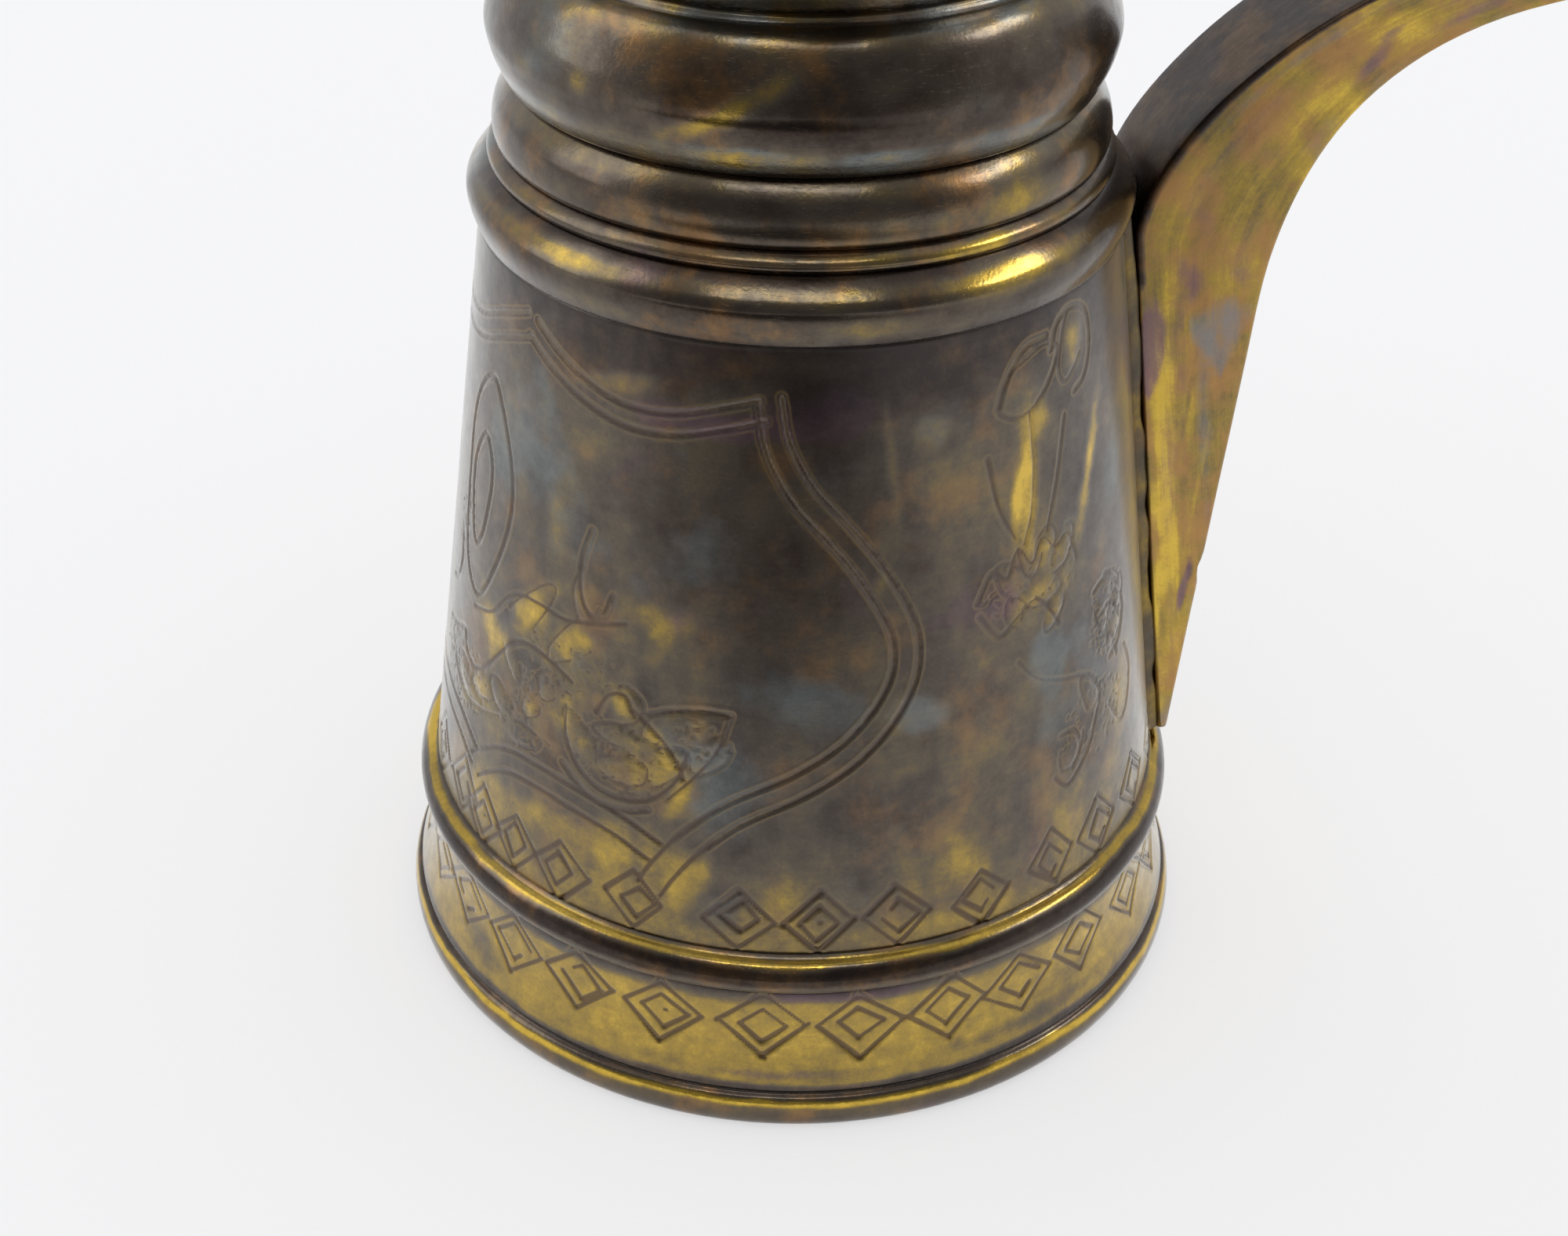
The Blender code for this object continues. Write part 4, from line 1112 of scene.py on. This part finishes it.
def brass(name, shift=0.0, engraved=False, streaky=0.0, rough=0.30, mottled=1.0, cast=(1, 1, 1),
          coat=0.75, coat_rough=0.22, sheen=0.0, stained=0.0, rusty=0.40, rust_from=0.50):
    """Old brass: tarnish film over gold, with violet, ochre and blue-grey stains and fine wear, glints partly
    painted along the grooves of chased pieces, and a light grey sheen painted in toward grazing angles.
    """
    shade = Nodes(bpy.data.materials.new(name))
    flow = shade.attribute("flow", "Vector")
    tarnish = shade.attribute("tarnish")
    tint = shade.attribute("tint")
    place = shade.coordinates("Object")

    cloud = shade.noise(place, 150, 5, 0.6)
    mottle = shade.noise(place, 620, 4, 0.6, 3.1)
    speck = shade.noise(place, 3400, 2, 0.6, 7.7)
    grain = shade.noise(flow, 2.4, 5, 0.7, 2.2)
    level = shade.total(
        tarnish, shift, shade.vary(cloud, shade.spread(tarnish, 0.2, 0.55, 0.12 * mottled, 0.38 * mottled)),
        shade.vary(mottle, 0.40 * mottled), shade.vary(speck, 0.16), shade.vary(grain, 0.12 + streaky))
    colour = shade.ramp(level, TARNISH_STOPS)

    stain = shade.noise(place, 210, 4, 0.6, 11.0)
    film = shade.spread(level, 0.18 - stained, 0.55 - stained)
    thin_film = shade.spread(level, 0.08 - stained, 0.40 - stained)
    cool = shade.times(shade.spread(shade.total(tint, stain), 0.70, 1.40, 0, 0.70), film)
    warm = shade.times(shade.spread(shade.maths("SUBTRACT", stain, tint), 0.72, 1.40, 0, 0.72), thin_film)
    rust = shade.noise(place, 170, 4, 0.65, 21.0)
    rust = shade.times(shade.spread(rust, rust_from, rust_from + 0.20, 0, rusty), film)
    dull = shade.ramp(level, STAIN_DULLING)
    for share, stain_colour in ((rust, OCHRE), (cool, BLUE_GREY), (warm, VIOLET)):
        colour = shade.mix(share, colour, shade.mix(1.0, stain_colour, dull, "MULTIPLY"))

    if engraved:
        frayed = shade.total(shade.attribute("line"), shade.vary(mottle, 0.9))
        # Lighter gold ring along the groove edges where tarnish is heavy: partly rubbed wear, partly painted
        # highlight where the edges catch the light
        edge_wear_and_glint = shade.times(shade.spread(frayed, 1.2, 1.7), shade.spread(frayed, 2.6, 1.9))
        edge_wear_and_glint = shade.times(edge_wear_and_glint, shade.spread(level, 0.4, 0.8, 0.0, 0.30))
        colour = shade.mix(edge_wear_and_glint, colour, EDGE_WEAR_AND_GLINT_GOLD)
        cut = shade.times(shade.spread(frayed, 1.20, 0.45), shade.spread(level, 0.25, 0.62, 0.78, 0.50))
        # In heavy tarnish the grooves turn lighter brown-gold instead of dark: partly worn metal, partly
        # painted light caught on the groove walls
        colour = shade.mix(cut, colour, shade.mix(shade.spread(level, 0.58, 0.78), GROOVE_DARK, GROOVE_WORN_AND_LIT))
    # Painted sheen: the colour turns light grey toward grazing angles, standing in for reflections along the
    # edges
    facing = shade.node("LayerWeight").outputs["Facing"]
    colour = shade.mix(shade.spread(facing, 0.62, 1.0, 0.0, sheen), colour, PAINTED_SHEEN_GREY)
    roughness = shade.total(rough, shade.times(level, 0.14), shade.vary(mottle, 0.25))

    scratch = shade.spread(shade.noise(flow, 9.0, 3, 0.8, 5.0), 0.60, 0.72, 0, 0.5)
    relief = shade.total(shade.times(mottle, 0.6), shade.times(speck, 0.35), shade.times(scratch, -0.35))
    bump = shade.node("Bump")
    for title, value in (("Strength", 0.5), ("Distance", BUMP_HEIGHT), ("Height", relief)):
        shade.put(bump.inputs[title], value)
    shade.surface(Base_Color=shade.mix(1.0, colour, cast, "MULTIPLY"), Metallic=1.0, Coat_Weight=coat,
                  Coat_Roughness=coat_rough, Roughness=roughness, Normal=bump.outputs[0])
    return shade.owner


# ---------------------------------------------------------------- stage

FLOOR_HALF = 3.0
FLOOR_WHITE = (0.93, 0.93, 0.94)
# The card lies just above the floor in front of the pot: left, right, near, far and height
CARD = (-0.36, 0.17, -0.092, -1.0, 0.001)
CARD_BLACK = (0.05, 0.05, 0.055)
# Brightness of the surround for the camera, for the metal, for the metal on the photographer's side
# and for the floor, and the power of the floor's own lamp
WORLD_SEEN = 0.94
WORLD_GLOW = 0.78
FRONT_GLOW = 0.24
FLOOR_GLOW = 0.47
FLOOR_FILL = 1.70
# Softboxes: (name, place, size, power, colour)
SOFTBOXES = [
    ("top_softbox", (-0.08, -0.38, 0.76), (0.55, 0.12), 0.75, (1, 1, 1)),
    ("right_softbox", (0.55, -0.12, 0.50), (0.30, 0.12), 0.75, (1.0, 0.98, 0.94)),
    ("left_softbox", (-0.60, 0.05, 0.42), (0.35, 0.60), 0.9, (1, 1, 1)),
]
LIT_POINT = (0.01, 0.0, 0.05)
# The camera's distance and height in foot radii, its angles in degrees and its lens in millimetres
CAMERA_BACK, CAMERA_HEIGHT = 4.735, 3.971
CAMERA_PITCH, CAMERA_ROLL, CAMERA_PAN = 34.09, 0.65, -0.33
LENS = 52.24


def paper(name, colour):
    """Matt white paper with a faint tooth."""
    shade = Nodes(bpy.data.materials.new(name))
    tooth = shade.noise(shade.coordinates("Object"), 1800, 3)
    shaded = shade.mix(shade.spread(tooth, 0.3, 0.7, 0.0, 0.05), colour, tuple(c * 0.9 for c in colour))
    shade.surface(Base_Color=shaded, Roughness=0.9, Specular_IOR_Level=0.1)
    return shade.owner


def soft_card(name):
    """Near-black card whose edges melt away, so that the metal shows no outline of it."""
    shade = Nodes(bpy.data.materials.new(name))
    place = shade.node("SeparateXYZ", shade.coordinates("Generated")).outputs
    across = shade.times(shade.spread(place[0], 0.0, 0.36), shade.spread(place[0], 1.0, 0.64))
    shade.surface(Base_Color=CARD_BLACK, Alpha=shade.times(across, shade.spread(place[1], 1.0, 0.93)))
    return shade.owner


def sheet(name, left, right, near, far, height, material):
    """Flat rectangle with one material, attached to no body."""
    mesh = bpy.data.meshes.new(name)
    mesh.from_pydata([(left, far, height), (right, far, height), (right, near, height), (left, near, height)],
                     [], [(0, 1, 2, 3)])
    mesh.materials.append(material)
    made = add_object(name, mesh)
    return made


def build_stage():
    """White floor, with a dark card beyond the picture that only the metal can see."""
    sheet("floor", -FLOOR_HALF, FLOOR_HALF, FLOOR_HALF, -FLOOR_HALF, 0, paper("floor_paper", FLOOR_WHITE))
    card = sheet("dark_card", *CARD, soft_card("card_black"))
    card.visible_camera = card.visible_diffuse = card.visible_shadow = False


def build_world():
    """Surround that is even for the camera and the floor, and for the metal dim towards the
    photographer's side."""
    world = bpy.data.worlds.new("studio")
    sky = Nodes(world)
    world.cycles.sampling_method = "NONE"
    front = (math.sin(math.radians(FACE_TURN)), -math.cos(math.radians(FACE_TURN)), 0.35)
    facing = sky.node("VectorMath", sky.coordinates("Generated"), front, operation="DOT_PRODUCT")
    ray = sky.node("LightPath").outputs
    level = sky.spread(facing.outputs["Value"], 0.30, 0.80, WORLD_GLOW, FRONT_GLOW)
    level = sky.spread(ray["Is Diffuse Ray"], 0.0, 1.0, level, FLOOR_GLOW)
    level = sky.spread(ray["Is Camera Ray"], 0.0, 1.0, level, WORLD_SEEN)
    background = sky.tree.nodes["Background"]
    sky.put(background.inputs[0], (0.985, 0.99, 1.0))
    sky.put(background.inputs[1], level)
    bpy.context.scene.world = world


def build_lamps():
    """Three softboxes that the floor doesn't see, and a shadowless fill that the metal doesn't see."""
    for name, place, size, power, colour in SOFTBOXES:
        light = bpy.data.lights.new(name, "AREA")
        light.shape = "RECTANGLE"
        light.size, light.size_y = size
        light.energy = power
        light.color = colour
        lamp = add_object(name, light)
        lamp.location = place
        lamp.rotation_euler = (Vector(LIT_POINT) - Vector(place)).to_track_quat("-Z", "Y").to_euler()
        lamp.visible_diffuse = False
    fill = bpy.data.lights.new("floor_fill", "SUN")
    fill.energy = FLOOR_FILL
    fill.use_shadow = False
    add_object("floor_fill", fill).visible_glossy = False


def build_camera():
    """Looks down at the engraved face from the lip's side."""
    unit = limits("foot_roll")[1][0] * MM
    place = Matrix.Translation((0, -CAMERA_BACK * unit, CAMERA_HEIGHT * unit))
    swing, pan, tilt, roll = (Matrix.Rotation(math.radians(angle), 4, axis) for angle, axis in (
        (FACE_TURN, "Z"), (-CAMERA_PAN, "Z"), (90 - CAMERA_PITCH, "X"), (CAMERA_ROLL, "Z")))
    camera = bpy.data.cameras.new("camera")
    camera.sensor_width = 36
    camera.lens = LENS
    camera.clip_start = 0.01
    looker = add_object("camera", camera)
    looker.matrix_world = swing @ place @ pan @ tilt @ roll
    bpy.context.scene.camera = looker


def main():
    plain = "aged_brass", brass("aged_brass_turned", rough=0.15, coat=0.35, coat_rough=0.12, sheen=0.35,
                                rusty=0.65)
    engraved = "engraved_brass", brass("aged_brass_chased", engraved=True, sheen=0.70)
    cast = "handle_brass", brass("aged_brass_cast", shift=-0.04, streaky=0.20, mottled=0.45,
                                 cast=(1.03, 1.05, 1.15), coat=0.40, stained=0.30, rusty=0.80,
                                 rust_from=0.41)
    solder = "dark_solder", brass("blackened_solder", rough=0.45, coat=0.2)
    build_foot(plain, engraved)
    build_body(plain, engraved)
    build_collar(plain)
    build_neck(plain)
    build_rim(plain)
    build_handle(cast)
    build_eye(cast)
    build_solder(solder)
    build_hanging_ring(plain)
    build_stage()
    build_world()
    build_lamps()
    build_camera()
    bpy.context.scene.view_settings.view_transform = "Standard"


main()
